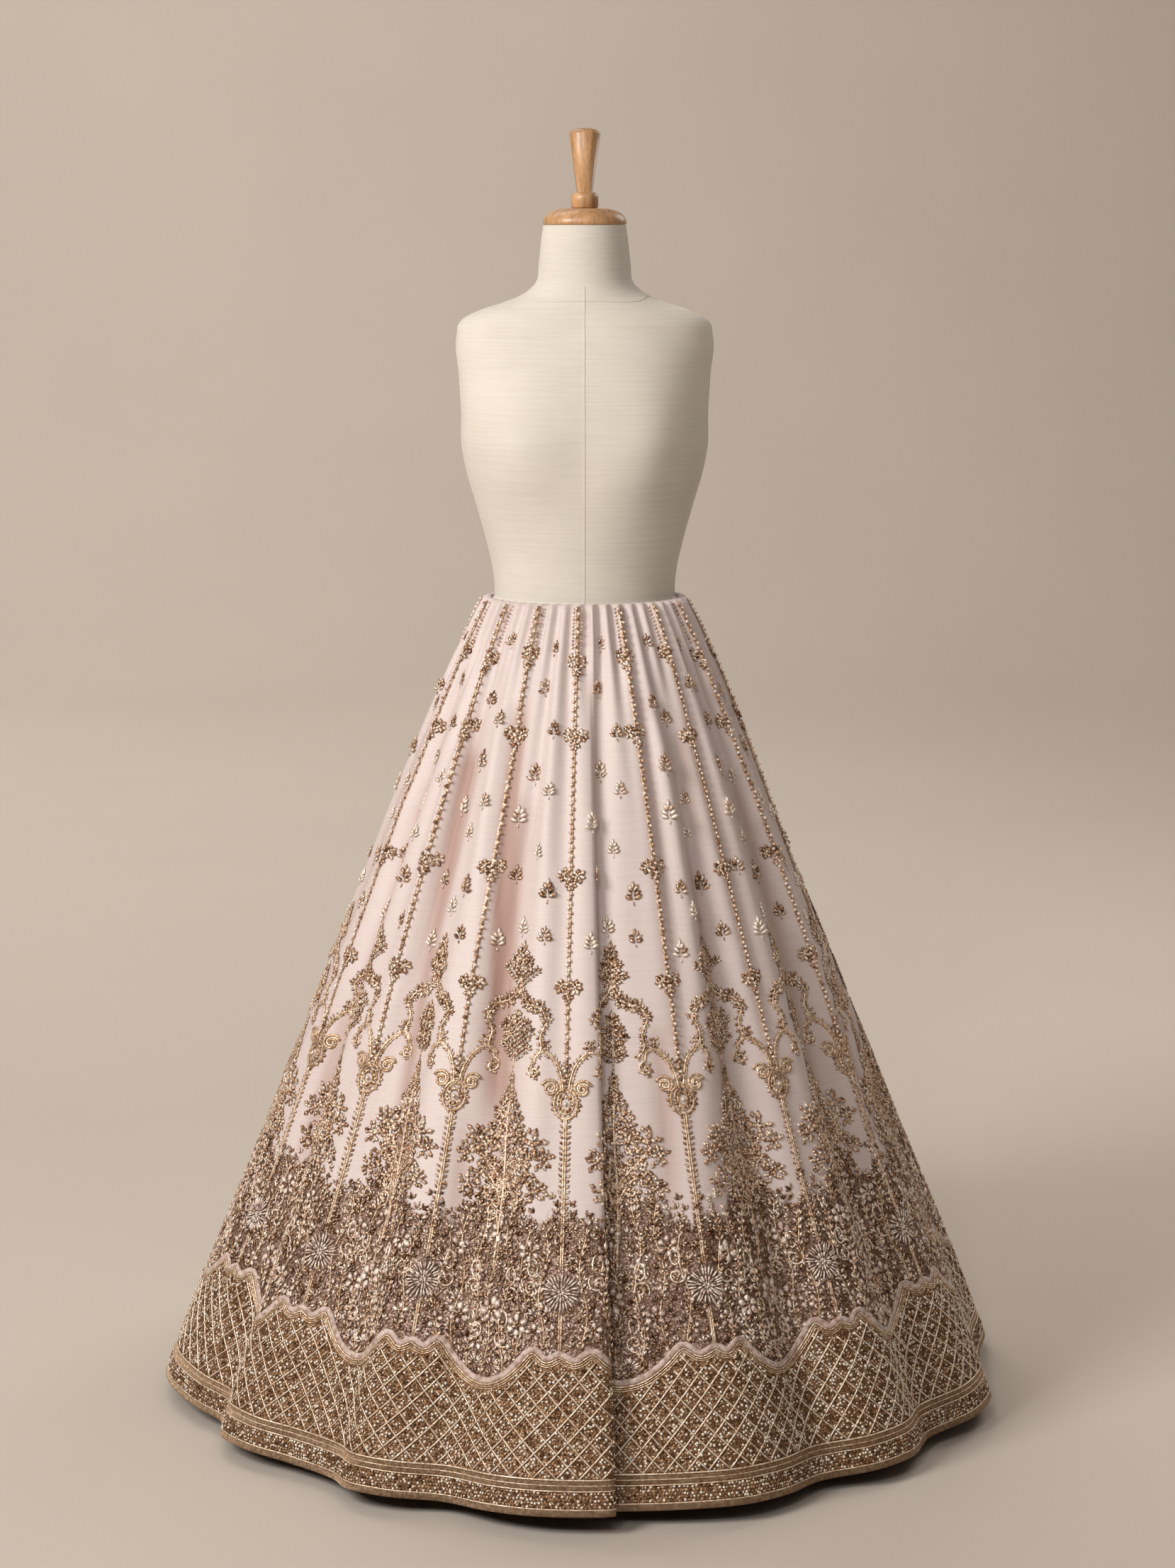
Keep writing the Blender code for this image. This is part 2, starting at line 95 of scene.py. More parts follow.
# The hem's outline, one row for each turn of a fold, in the order in which the cloth runs round it.
HemTurn = namedtuple("HemTurn", "degrees out")
HEM_SAMPLES = 6000
HEM_TURNS = tuple(HemTurn(*row) for row in (
    (-3.5, 0.0184), (0.0, 0.0190), (2.0, 0.0185), (3.1, 0.0170), (3.6, 0.0110), (3.0, 0.0055),
    (1.9, 0.0010), (1.3, -0.0045), (1.8, -0.0100), (2.9, -0.0130), (4.4, -0.0125), (8.0, -0.0080),
    (14.0, 0.0010), (21.0, 0.0095), (26.5, -0.0010), (34.0, -0.0250), (42.5, 0.0030),
    (47.5, 0.0060), (56.0, -0.0170), (65.5, 0.0110), (72.0, 0.0130), (82.0, -0.0140),
    (91.0, -0.0060), (98.5, 0.0140), (106.0, 0.0060), (115.0, -0.0180), (126.5, 0.0080),
    (134.0, 0.0130), (145.0, -0.0160), (155.5, -0.0060), (163.0, 0.0150), (171.0, 0.0090),
    (182.0, -0.0170), (193.5, 0.0060), (202.0, 0.0150), (213.0, -0.0150), (223.5, -0.0090),
    (231.0, 0.0130), (240.0, 0.0090), (250.0, -0.0170), (262.0, -0.0070), (271.5, 0.0130),
    (280.5, 0.0190), (290.5, 0.0000), (297.5, -0.0190), (303.5, 0.0060), (308.5, 0.0030),
    (315.5, -0.0170), (325.0, -0.0130), (328.5, 0.0070), (333.0, 0.0060), (341.0, -0.0170),
    (348.5, 0.0060), (354.5, 0.0178), (356.5, 0.0184),
))

# The scalloped top of the hem border across half a kali, from its seam to its middle.
Scallop = namedtuple("Scallop", "share height")
BORDER_TOP = tuple(Scallop(*row) for row in (
    (0.00, 0.187), (0.083, 0.180), (0.167, 0.191), (0.25, 0.174), (0.333, 0.159), (0.417, 0.150),
    (0.50, 0.147),
))

Wave = namedtuple("Wave", "count strength phase")
GATHER_WAVES = (Wave(5, 0.22, 1.0), Wave(11, 0.16, 0.0))
RIPPLE_WAVES = (Wave(29, 0.60, 0.7), Wave(37, 0.50, 2.1))

# Creases laid in the silk, as listed. cloth is where each one starts, lean how far it drifts to its
# end, top and bottom its heights, width its half width and rise its ridge, or its trough if less than 0.
Crease = namedtuple("Crease", "cloth lean top bottom width rise")
CREASES = tuple(Crease(*row) for row in (
    (0.30, 0.10, 1.06, 0.62, 0.010, -0.0024), (0.74, 0.05, 1.08, 0.80, 0.007, 0.0020),
    (1.18, -0.12, 1.02, 0.48, 0.012, -0.0030), (1.62, 0.04, 1.07, 0.70, 0.008, 0.0022),
    (2.10, -0.05, 0.98, 0.55, 0.011, -0.0026), (2.55, 0.10, 1.08, 0.83, 0.006, -0.0018),
    (3.05, -0.08, 0.90, 0.40, 0.014, 0.0030), (3.48, 0.03, 1.05, 0.66, 0.009, -0.0024),
    (4.12, 0.08, 1.08, 0.74, 0.008, 0.0022), (4.60, -0.10, 0.96, 0.50, 0.012, -0.0028),
    (5.20, 0.05, 1.06, 0.78, 0.007, -0.0020), (5.66, -0.04, 0.88, 0.42, 0.013, 0.0026),
    (6.22, 0.10, 1.07, 0.60, 0.010, -0.0026), (6.80, -0.06, 1.03, 0.72, 0.008, 0.0020),
    (7.33, 0.05, 0.95, 0.46, 0.012, -0.0030), (7.85, -0.09, 1.08, 0.80, 0.006, 0.0018),
    (8.28, 0.06, 1.02, 0.58, 0.011, -0.0024), (8.90, -0.05, 0.90, 0.44, 0.013, 0.0028),
    (9.40, 0.08, 1.07, 0.76, 0.007, -0.0020), (9.95, -0.10, 0.99, 0.52, 0.012, -0.0028),
    (10.45, 0.04, 1.06, 0.68, 0.009, 0.0022), (11.02, -0.06, 0.93, 0.45, 0.013, -0.0026),
    (11.40, 0.09, 1.08, 0.79, 0.007, 0.0020), (11.88, -0.04, 1.04, 0.60, 0.010, -0.0026),
    (12.34, 0.10, 1.07, 0.86, 0.006, 0.0018), (12.70, -0.08, 0.97, 0.50, 0.011, -0.0026),
    (13.20, 0.05, 1.06, 0.74, 0.008, -0.0022), (13.42, 0.06, 0.84, 0.44, 0.013, 0.0028),
    (13.80, -0.10, 1.08, 0.81, 0.006, 0.0020), (14.12, 0.05, 0.99, 0.56, 0.010, -0.0028),
    (14.42, -0.06, 1.07, 0.72, 0.007, -0.0020), (14.66, 0.04, 0.78, 0.40, 0.012, 0.0024),
    (15.06, 0.08, 1.05, 0.66, 0.009, -0.0024), (15.34, -0.10, 0.88, 0.36, 0.014, -0.0034),
    (15.58, 0.05, 1.08, 0.77, 0.007, 0.0020), (15.82, -0.03, 0.80, 0.42, 0.010, 0.0022),
    (14.64, 0.66, 1.00, 0.34, 0.017, 0.0046), (14.90, 0.66, 1.00, 0.34, 0.018, -0.0056),
    (13.92, 0.30, 0.94, 0.31, 0.015, 0.0040), (14.14, 0.32, 0.94, 0.31, 0.017, -0.0048),
    (13.04, 0.02, 0.88, 0.34, 0.015, 0.0034), (13.26, 0.02, 0.88, 0.34, 0.015, -0.0036),
    (1.52, -0.42, 0.98, 0.34, 0.018, 0.0042), (1.78, -0.42, 0.98, 0.34, 0.016, -0.0044),
    (2.84, -0.30, 0.90, 0.32, 0.015, -0.0040), (4.36, 0.35, 0.96, 0.34, 0.017, -0.0046),
    (5.92, -0.25, 0.92, 0.31, 0.016, 0.0040), (7.58, 0.40, 0.98, 0.35, 0.018, -0.0048),
    (9.18, -0.35, 0.90, 0.32, 0.016, 0.0042), (10.74, 0.30, 0.95, 0.34, 0.017, -0.0046),
    (12.06, -0.28, 0.92, 0.32, 0.016, 0.0040), (15.11, 0.05, 0.62, 0.33, 0.013, -0.0050),
    (14.11, 0.05, 0.60, 0.33, 0.012, -0.0046), (13.12, 0.04, 0.58, 0.33, 0.012, -0.0040),
    (0.88, -0.03, 0.60, 0.34, 0.012, -0.0040), (3.14, 0.04, 0.58, 0.34, 0.012, -0.0042),
    (6.88, -0.04, 0.62, 0.34, 0.013, -0.0044), (10.12, 0.05, 0.60, 0.34, 0.012, -0.0040),
    (11.86, -0.04, 0.58, 0.33, 0.012, -0.0042),
))
# The height over which a crease fades out at its ends, and the depth at which the painted shade in the silk
# is strongest.
CREASE_FADE = 0.10
DEEP_CREASE = 0.0060

# Dress form, one row for each level from the neck's top to the hips' underside.
FormLevel = namedtuple("FormLevel", "height half_width front back bust")
FORM_LEVELS = (
    FormLevel(1.5070, 0.0520, 0.0520, 0.0520, 0.000),
    FormLevel(1.4860, 0.0550, 0.0540, 0.0560, 0.000),
    FormLevel(1.4580, 0.0580, 0.0560, 0.0600, 0.000),
    FormLevel(1.4350, 0.0620, 0.0590, 0.0660, 0.000),
    FormLevel(1.4260, 0.0700, 0.0615, 0.0710, 0.000),
    FormLevel(1.4180, 0.0830, 0.0640, 0.0760, 0.000),
    FormLevel(1.4090, 0.1070, 0.0670, 0.0820, 0.000),
    FormLevel(1.4010, 0.1330, 0.0700, 0.0870, 0.000),
    FormLevel(1.3900, 0.1540, 0.0740, 0.0920, 0.000),
    FormLevel(1.3700, 0.1610, 0.0810, 0.0980, 0.001),
    FormLevel(1.3200, 0.1585, 0.0930, 0.1040, 0.005),
    FormLevel(1.2700, 0.1560, 0.1010, 0.1040, 0.015),
    FormLevel(1.2350, 0.1560, 0.1030, 0.1020, 0.021),
    FormLevel(1.2000, 0.1500, 0.1010, 0.0980, 0.017),
    FormLevel(1.1600, 0.1385, 0.0970, 0.0930, 0.006),
    FormLevel(1.1150, 0.1260, 0.0925, 0.0895, 0.000),
    FormLevel(1.0750, 0.1170, 0.0890, 0.0870, 0.000),
    FormLevel(1.0385, 0.1150, 0.0880, 0.0880, 0.000),
    FormLevel(1.0085, 0.1215, 0.0935, 0.0935, 0.000),
    FormLevel(0.9600, 0.1330, 0.1010, 0.1060, 0.000),
    FormLevel(0.9000, 0.1470, 0.1070, 0.1190, 0.000),
    FormLevel(0.8500, 0.1530, 0.1080, 0.1240, 0.000),
    FormLevel(0.8150, 0.1490, 0.1040, 0.1190, 0.000),
    FormLevel(0.7950, 0.1310, 0.0880, 0.1020, 0.000),
    FormLevel(0.7880, 0.1090, 0.0700, 0.0820, 0.000),
)
FORM_COLUMNS = 72
FORM_ROWS = 88
FORM_SEAM_TOP, FORM_SEAM_LOW = 1.432, 0.80
BUST_CENTRE = math.radians(36)
BUST_SPREAD = math.radians(24)

# Where the embroidery lies, as heights up the cloth. What is sewn on stands a little clear of its mesh.
STITCH_LIFT = 0.0005
SEQUIN_LIFT = BORDER_FACE + 0.0006
HEM_EDGE_TOP = 0.0085
HEM_BEADS_TOP = 0.0300
TRELLIS_LOW = 0.0440
TRELLIS_PITCH = 0.0285
TRELLIS_PER_KALI = 8
TRELLIS_IN_FOLD_KALI = 10
CAPITAL_HEIGHT = 0.487
ARCH_SPRING = 0.500
TREE_HEIGHT = 0.335
DAISY_HEIGHT = 0.262
ROSETTE_HEIGHTS = (1.045, 0.945, 0.772, 0.630)

# Small sprigs on the open silk, one row each: the share of the way across a kali, the height up
# the cloth, how tall the sprig is and how light its thread.
Sprig = namedtuple("Sprig", "share height tall tone")
SPRIGS = tuple(Sprig(*row) for row in (
    (0.52, 1.054, 0.017, 0.56), (0.36, 0.988, 0.019, 0.60), (0.64, 0.950, 0.018, 0.52),
    (0.42, 0.892, 0.023, 0.58), (0.72, 0.860, 0.018, 0.82), (0.28, 0.832, 0.023, 0.85),
    (0.58, 0.800, 0.018, 0.95), (0.25, 0.750, 0.019, 0.56), (0.70, 0.738, 0.024, 0.60),
    (0.46, 0.702, 0.020, 0.95), (0.22, 0.668, 0.022, 0.90), (0.79, 0.682, 0.019, 0.54),
))

# Curves of the embroidery as (across, up) in metres from the place that each one is named for.
BRANCH = (
    (0.003, 0.014), (0.006, 0.034), (0.014, 0.053), (0.027, 0.064), (0.038, 0.058), (0.040, 0.048),
)
ARCH_SIDE = ((-0.029, 0.040), (-0.038, 0.052), (-0.036, 0.070), (-0.043, 0.088))
ARCH_TOP = ((-0.043, 0.088), (-0.034, 0.103), (-0.018, 0.108), (-0.007, 0.117), (0.0, 0.130))
FINIAL = ((0.0, 0.130), (0.0, 0.150), (0.0, 0.174))
MEDALLION = ((0.0, 0.036), (0.0, 0.060), (0.0, 0.088))
TRUNK = ((0.0, -0.05), (0.002, 0.05), (-0.001, 0.11), (0.0, 0.150))
TREE_SKIRT = ((0.0, 0.01), (0.0, 0.05), (0.0, 0.10))
TREE_TIP = ((0.0, 0.160), (0.0, 0.170), (0.0, 0.180))
LOW_BOUGH = ((0.0, 0.045), (0.014, 0.064), (0.028, 0.078), (0.040, 0.092))
HIGH_BOUGH = ((0.0, 0.022), (0.010, 0.044), (0.022, 0.058), (0.030, 0.066))
# Heads of leaves in each tree: across, up from its foot, and the radius.
TREE_SPIRE = (
    (0.0155, 0.104, 0.0170), (0.0140, 0.122, 0.0155), (0.0100, 0.138, 0.0135),
    (0.0, 0.112, 0.0130), (0.0050, 0.152, 0.0115), (0.0, 0.163, 0.0095),
)
TREE_HEADS = (
    (0.038, 0.103, 0.0190), (0.026, 0.084, 0.0150), (0.053, 0.084, 0.0150), (0.033, 0.062, 0.0150),
    (0.048, 0.046, 0.0165), (0.024, 0.034, 0.0140), (0.014, 0.072, 0.0120),
)

# Rosettes on a seam, as (across, up, radius) from each of their heights.
ROSETTE_TREFOIL = ((-0.0088, 0.0, 0.0104), (0.0088, 0.0, 0.0104), (0.0, -0.0120, 0.0088))

# Each capital's volutes as (reach, turns, radius, tone), and its rings as (rise, half width,
# half height, radius).
VOLUTES = ((0.0112, 1.6, 0.0019, 0.40), (0.0078, 1.2, 0.0012, 0.85))
CAPITAL_RINGS = (
    (0.0, 0.0140, 0.0185, 0.0017), (0.001, 0.0100, 0.0138, 0.0012), (0.001, 0.0060, 0.0088, 0.0014),
)

# Heights of the leaves that stand in a column up each medallion and finial.
MEDALLION_LEAVES = (0.040, 0.048, 0.056, 0.064, 0.072, 0.080, 0.088)
FINIAL_LEAVES = (0.132, 0.139, 0.146, 0.153, 0.160)

# Rings of petals in a daisy, as (hollow, radius, petals, tone, width).
DAISY_RINGS = ((0.40, 0.0250, 26, 0.82, 0.22), (0.30, 0.0135, 14, 0.7, 0.42), (0.05, 0.0060, 8, 0.9, 0.42))

# Colours, linear
# Painted shade, mixed into the silk's colour deep in its creases.
PAINTED_FOLD_SHADE = (0.385, 0.225, 0.180)
PALE_SILK = (0.700, 0.594, 0.572)
LINEN = (0.755, 0.705, 0.632)
WOOD = (0.52, 0.29, 0.14)
PAPER = (0.700, 0.628, 0.560)
# A painted glint: the top of each thread's ramp, for its lightest stitches.
PAINTED_GLINT = (1.000, 0.905, 0.800)
AIR_COLOUR = (1.0, 0.955, 0.90, 1.0)
AIR_STRENGTH = 0.36
# The band's gold stitched ground; its dark pinkish stops are partly painted shade on the silk between the
# raised pieces.
BAND_GROUND = (
    (0.28, (0.100, 0.044, 0.020)), (0.54, (0.21, 0.120, 0.080)),
    (0.72, (0.46, 0.325, 0.265)), (0.88, (0.68, 0.52, 0.46)),
)
BORDER_GROUND = ((0.22, (0.070, 0.030, 0.014)), (0.55, (0.290, 0.160, 0.082)), (0.88, (0.56, 0.350, 0.205)))
BRAID_GOLD = ((0.25, (0.20, 0.110, 0.060)), (0.55, (0.44, 0.280, 0.165)), (0.85, (0.76, 0.580, 0.405)))

# The threads and beads that the embroidery shares. glitter is how far the small stitches in one
# change its colour, partly as painted glints in the lightest of them.
Thread = namedtuple("Thread", "name dark mid light metallic roughness glitter")
THREADS = (
    Thread("gold thread", (0.10, 0.044, 0.020), (0.415, 0.235, 0.138), (0.86, 0.655, 0.49), 0.50, 0.40, 0.60),
    Thread("pale cord", (0.20, 0.105, 0.055), (0.52, 0.335, 0.205), (0.90, 0.72, 0.54), 0.45, 0.40, 0.45),
    Thread("pale thread", (0.18, 0.095, 0.066), (0.50, 0.345, 0.285), (0.82, 0.660, 0.585), 0.22, 0.40, 0.50),
    Thread("champagne beads", (0.30, 0.145, 0.080), (0.74, 0.50, 0.37), (1.00, 0.83, 0.70), 0.30, 0.27, 0.20),
    Thread("gold beads", (0.10, 0.041, 0.018), (0.44, 0.260, 0.148), (0.95, 0.78, 0.60), 0.35, 0.27, 0.15),
    Thread("sequins", (0.12, 0.055, 0.026), (0.50, 0.310, 0.180), (1.00, 0.86, 0.70), 0.15, 0.28, 0.12),
)


def smooth_curve(knots, values, at):
    """Values on a smooth curve through the knots, with Catmull-Rom slopes."""
    knots = np.asarray(knots, float)
    values = np.asarray(values, float)
    at = np.clip(at, knots[0], knots[-1])
    slopes = np.gradient(values, knots)
    place = np.clip(np.searchsorted(knots, at, side="right") - 1, 0, len(knots) - 2)
    span = knots[place + 1] - knots[place]
    share = (at - knots[place]) / span
    square, cube = share**2, share**3
    return (
        (2 * cube - 3 * square + 1) * values[place]
        + (cube - 2 * square + share) * span * slopes[place]
        + (3 * square - 2 * cube) * values[place + 1]
        + (cube - square) * span * slopes[place + 1]
    )


def ease(low, high, at):
    """0 below low, 1 above high and a soft step between them."""
    share = np.clip((at - low) / (high - low), 0, 1)
    return share * share * (3 - 2 * share)


def unit(vectors):
    return vectors / np.linalg.norm(vectors, axis=-1, keepdims=True)


def run_lengths(degrees, out):
    metres_per_degree = math.radians(LEVELS[-1].half_width)
    steps = np.hypot(np.diff(degrees) * metres_per_degree, np.diff(out))
    return np.concatenate([[0], np.cumsum(steps)])


def hem_outline():
    """The hem, finely sampled as length, degrees and out, with the length at each turn of its table."""
    degrees, out = np.array(HEM_TURNS).T
    knots = run_lengths(degrees, out)
    samples = np.linspace(0, knots[-1], HEM_SAMPLES)
    fine_degrees = smooth_curve(knots, degrees, samples)
    fine_out = smooth_curve(knots, out, samples)
    lengths = run_lengths(fine_degrees, fine_out)
    return lengths, fine_degrees, fine_out, np.interp(knots, samples, lengths)


HEM_LENGTH, HEM_ANGLE, HEM_OUT, TURN_LENGTHS = hem_outline()
SEAM_LENGTHS = np.array(
    [
        HEM_LENGTH[np.argmax(HEM_ANGLE >= SEAM_START + k * KALI_DEGREES)]
        for k in range(KALI_COUNT)
    ]
    + [HEM_LENGTH[-1]]
)
LEVEL_DROPS = [(WAIST_HEIGHT - level.height) / SKIRT_DROP for level in LEVELS]


def waves_at(waves, around):
    return sum(wave.strength * np.sin(wave.count * around + wave.phase) for wave in waves)


def plain_skirt(cloth, drop, crease=0.0):
    """Points on the outer face of the skirt. drop is 0 at the waist and 1 at the hem."""
    cloth, drop = np.broadcast_arrays(np.asarray(cloth, float), np.asarray(drop, float))
    turned = np.mod(cloth, KALI_COUNT)
    kali = np.minimum(np.floor(turned).astype(int), KALI_COUNT - 1)
    length = SEAM_LENGTHS[kali] + (turned - kali) * (SEAM_LENGTHS[kali + 1] - SEAM_LENGTHS[kali])
    hem_degrees = np.interp(length, HEM_LENGTH, HEM_ANGLE)
    hem_out = np.interp(length, HEM_LENGTH, HEM_OUT)
    half_width, half_depth, fold, ripple, gather = (
        smooth_curve(LEVEL_DROPS, [getattr(level, column) for level in LEVELS], drop)
        for column in ("half_width", "half_depth", "fold", "ripple", "gather")
    )
    even_degrees = SEAM_START + turned * KALI_DEGREES
    angle = np.radians(even_degrees + fold * (hem_degrees - even_degrees))
    around = np.radians(even_degrees)
    gathers = np.cos(math.tau * GATHERS_PER_KALI * turned) * (1 + waves_at(GATHER_WAVES, around))
    out = fold * hem_out + ripple * waves_at(RIPPLE_WAVES, around) + gather * gathers + crease
    side, front = np.sin(angle), np.cos(angle)
    normal = unit(np.stack([side / half_width, -front / half_depth], axis=-1))
    height = WAIST_HEIGHT - drop * (SKIRT_DROP - HEM_LIFT * hem_out)
    return np.stack(
        [
            half_width * side + out * normal[..., 0],
            -half_depth * front + out * normal[..., 1],
            height,
        ],
        axis=-1,
    )


def measure_kalis(stations=25, rows=41):
    """The real width of each kali at evenly spaced drops, and the cloth's length from waist to hem."""
    drops = np.linspace(0, 1, rows)
    widths = []
    for kali in range(KALI_COUNT):
        cloth = kali + np.linspace(0, 1, stations)[:, None] * 0.999
        points = plain_skirt(cloth, drops[None, :])
        widths.append(np.linalg.norm(np.diff(points, axis=0), axis=-1).sum(axis=0))
    down = plain_skirt(7.5, drops)
    return np.array(widths), np.linalg.norm(np.diff(down, axis=0), axis=-1).sum()


KALI_WIDTHS, SLOPE = measure_kalis()


def drop_at(height):
    return 1 - np.asarray(height, float) / SLOPE


def kali_width(kali, height):
    """The width of a kali at a height, in metres."""
    place = np.clip(drop_at(height), 0, 1) * (KALI_WIDTHS.shape[1] - 1)
    row = np.clip(np.floor(place).astype(int), 0, KALI_WIDTHS.shape[1] - 2)
    kali = np.mod(kali, KALI_COUNT).astype(int)
    low, high = KALI_WIDTHS[kali, row], KALI_WIDTHS[kali, row + 1]
    return low + (high - low) * (place - row)


def beside(cloth, height, across, up):
    """The cloth and height of the place that lies across and up, in metres, from another one."""
    cloth, height, across, up = np.broadcast_arrays(
        *(np.asarray(value, float) for value in (cloth, height, across, up))
    )
    height = height + up
    seam = np.floor(cloth)
    right = (seam + 1 - cloth) * kali_width(seam, height)
    left = (cloth - seam) * kali_width(seam, height)
    placed = cloth + across / kali_width(seam, height)
    past_right = seam + 1 + (across - right) / kali_width(seam + 1, height)
    past_left = seam + (across + left) / kali_width(seam - 1, height)
    placed = np.where(across > right, past_right, placed)
    return np.where(across < -left, past_left, placed), height


def crease_rise(cloth, drop):
    """How far the listed creases lift the cloth."""
    height = (1 - drop) * SLOPE
    mean_width = np.interp(drop, np.linspace(0, 1, KALI_WIDTHS.shape[1]), KALI_WIDTHS.mean(axis=0))
    total = np.zeros(np.shape(height))
    for row in CREASES:
        share = np.clip((row.top - height) / (row.top - row.bottom), 0, 1)
        off = np.mod(cloth - row.cloth - row.lean * share + 8, KALI_COUNT) - 8
        near = np.exp(-((off * mean_width / row.width) ** 2))
        ends = ease(row.bottom - CREASE_FADE, row.bottom + CREASE_FADE, height)
        ends = ends * (1 - ease(row.top - CREASE_FADE / 2, row.top, height))
        total = total + row.rise * near * ends
    return total


def skirt_point(cloth, drop):
    cloth, drop = np.broadcast_arrays(np.asarray(cloth, float), np.asarray(drop, float))
    return plain_skirt(cloth, drop, crease_rise(cloth, drop))


def skirt_frame(cloth, height, step=0.004):
    """Points of the cloth with the directions across it, up it and out of it."""
    drop = np.clip(drop_at(height), 0, 1)
    lower, upper = np.minimum(drop + step, 1.0), np.maximum(drop - step, 0.0)
    across = unit(skirt_point(cloth + step, drop) - skirt_point(cloth - step, drop))
    up = skirt_point(cloth, upper) - skirt_point(cloth, lower)
    outward = unit(np.cross(across, up))
    return skirt_point(cloth, drop), across, unit(np.cross(outward, across)), outward


def border_top(cloth):
    """The height of the border's scalloped edge."""
    share = np.mod(cloth, 1)
    half = np.minimum(share, 1 - share)
    return smooth_curve([row.share for row in BORDER_TOP], [row.height for row in BORDER_TOP], half)


def band_top(cloth):
    """The height that the close-set floral band reaches, which is higher round each tree."""
    share = np.mod(cloth, 1)
    kali = np.floor(np.mod(cloth, KALI_COUNT))
    swell = 0.056 * np.exp(-(((share - 0.5) / 0.19) ** 2))
    uneven = 0.008 * np.sin(math.tau * 3 * share + kali) + 0.007 * np.sin(math.tau * 7 * share + 2 * kali)
    return 0.352 + swell + uneven


def fold_kali():
    """The kali in which the cloth doubles back, and the shares of it where that starts and ends."""
    turns = np.array([turn.degrees for turn in HEM_TURNS])
    doubled = np.flatnonzero(np.diff(turns) < 0)
    kali = int((turns[doubled[0]] - SEAM_START) // KALI_DEGREES)
    start, end = SEAM_LENGTHS[kali], SEAM_LENGTHS[kali + 1]
    shares = (TURN_LENGTHS[[doubled[0] - 1, doubled[-1] + 2]] - start) / (end - start)
    return kali, shares


def cloth_columns(per_kali, in_fold):
    """Places round the skirt for a mesh's columns, close together where the cloth doubles back."""
    fold, (first, last) = fold_kali()
    columns = []
    for kali in range(KALI_COUNT):
        stations = np.arange(per_kali) / per_kali
        if kali == fold:
            outside = (stations < first) | (stations > last)
            stations = np.sort(np.concatenate([stations[outside], np.linspace(first, last, in_fold)]))
        columns.append(kali + stations)
    return np.concatenate(columns)


def clear_selection():
    for obj in bpy.context.selected_objects:
        obj.select_set(False)


def grid(rows, columns):
    """The row and the column of each cell of a grid, as two flat arrays."""
    return (place.ravel() for place in np.meshgrid(np.arange(rows), np.arange(columns), indexing="ij"))


def quads(rows, columns, closed=False):
    """The four corners of each face between rings of points. closed joins the last ring to the first."""
    row, column = grid(rows if closed else rows - 1, columns)
    here, ahead = row * columns, (row + 1) % rows * columns
    around = (column + 1) % columns
    return here + column, ahead + column, ahead + around, here + around


def heading_along(points, closed):
    """The step from each point of a run to the next, which joins up at the ends of a closed one."""
    if closed:
        return np.roll(points, -1, axis=0) - np.roll(points, 1, axis=0)
    return np.gradient(points, axis=0)


def mesh_from(name, points, faces, smooth=True):
    """An object from arrays of points and of faces, which all have the same number of corners."""
    mesh = bpy.data.meshes.new(name)
    mesh.vertices.add(len(points))
    mesh.vertices.foreach_set("co", np.asarray(points, np.float32).ravel())
    mesh.loops.add(faces.size)
    mesh.loops.foreach_set("vertex_index", faces.astype(np.int32).ravel())
    mesh.polygons.add(len(faces))
    mesh.polygons.foreach_set("loop_start", np.arange(0, faces.size, faces.shape[1], dtype=np.int32))
    mesh.update(calc_edges=True)
    if smooth:
        mesh.shade_smooth()
    obj = bpy.data.objects.new(name, mesh)
    bpy.context.scene.collection.objects.link(obj)
    return obj


def set_attribute(obj, name, values):
    layer = obj.data.attributes.new(name, "FLOAT", "POINT")
    layer.data.foreach_set("value", np.asarray(values, np.float32).ravel())


def finish_piece(obj, material, slot_name, *nodes):
    """Gives a piece its material, and lets it ride on the part in place of its nodes."""
    obj.data.materials.append(material)
    if nodes:
        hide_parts(*nodes)
    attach(obj, "root")
    return obj


def sew(obj, thread):
    """Finishes a piece of gold work in one of the shared threads."""
    finish_piece(obj, bpy.data.materials[thread], "gold_work")


def wall_mesh(name, outer, inner, across, up):
    """A thin wall round the skirt, from outer and inner points by row and column.

    across and up are the places of the columns and rows on the cloth's own map, in metres, with one
    more column than the points have, because the map doesn't close.
    """
    rows, columns = outer.shape[:2]
    points = np.concatenate([outer.reshape(-1, 3), inner.reshape(-1, 3)])
    here, below, across_it, beside_it = quads(rows, columns)
    under = rows * columns
    outside = np.stack([here, below, across_it, beside_it], axis=1)
    inside = np.stack([here, beside_it, across_it, below], axis=1) + under
    column = np.arange(columns)
    right = (column + 1) % columns
    last = (rows - 1) * columns
    top = np.stack([column, right, right + under, column + under], axis=1)
    bottom = np.stack([last + column, last + column + under, last + right + under, last + right], axis=1)
    obj = mesh_from(name, points, np.concatenate([outside, inside, top, bottom]))

    def corners(r, c):
        return np.stack([across[r, c], up[r, c]], axis=-1)

    row, column = grid(rows - 1, columns)
    outside = [corners(row + down, column + along) for down, along in ((0, 0), (1, 0), (1, 1), (0, 1))]
    inside = [outside[0], outside[3], outside[2], outside[1]]
    column = np.arange(columns)
    first, final = np.zeros(columns, int), np.full(columns, rows - 1)
    top = [corners(first, column), corners(first, column + 1)]
    bottom = [corners(final, column), corners(final, column + 1)]
    loops = np.concatenate(
        [
            np.stack(outside, axis=1),
            np.stack(inside, axis=1),
            np.stack([top[0], top[1], top[1], top[0]], axis=1),
            np.stack([bottom[0], bottom[0], bottom[1], bottom[1]], axis=1),
        ]
    )
    layer = obj.data.uv_layers.new(name="cloth")
    layer.data.foreach_set("uv", loops.astype(np.float32).ravel())
    return obj


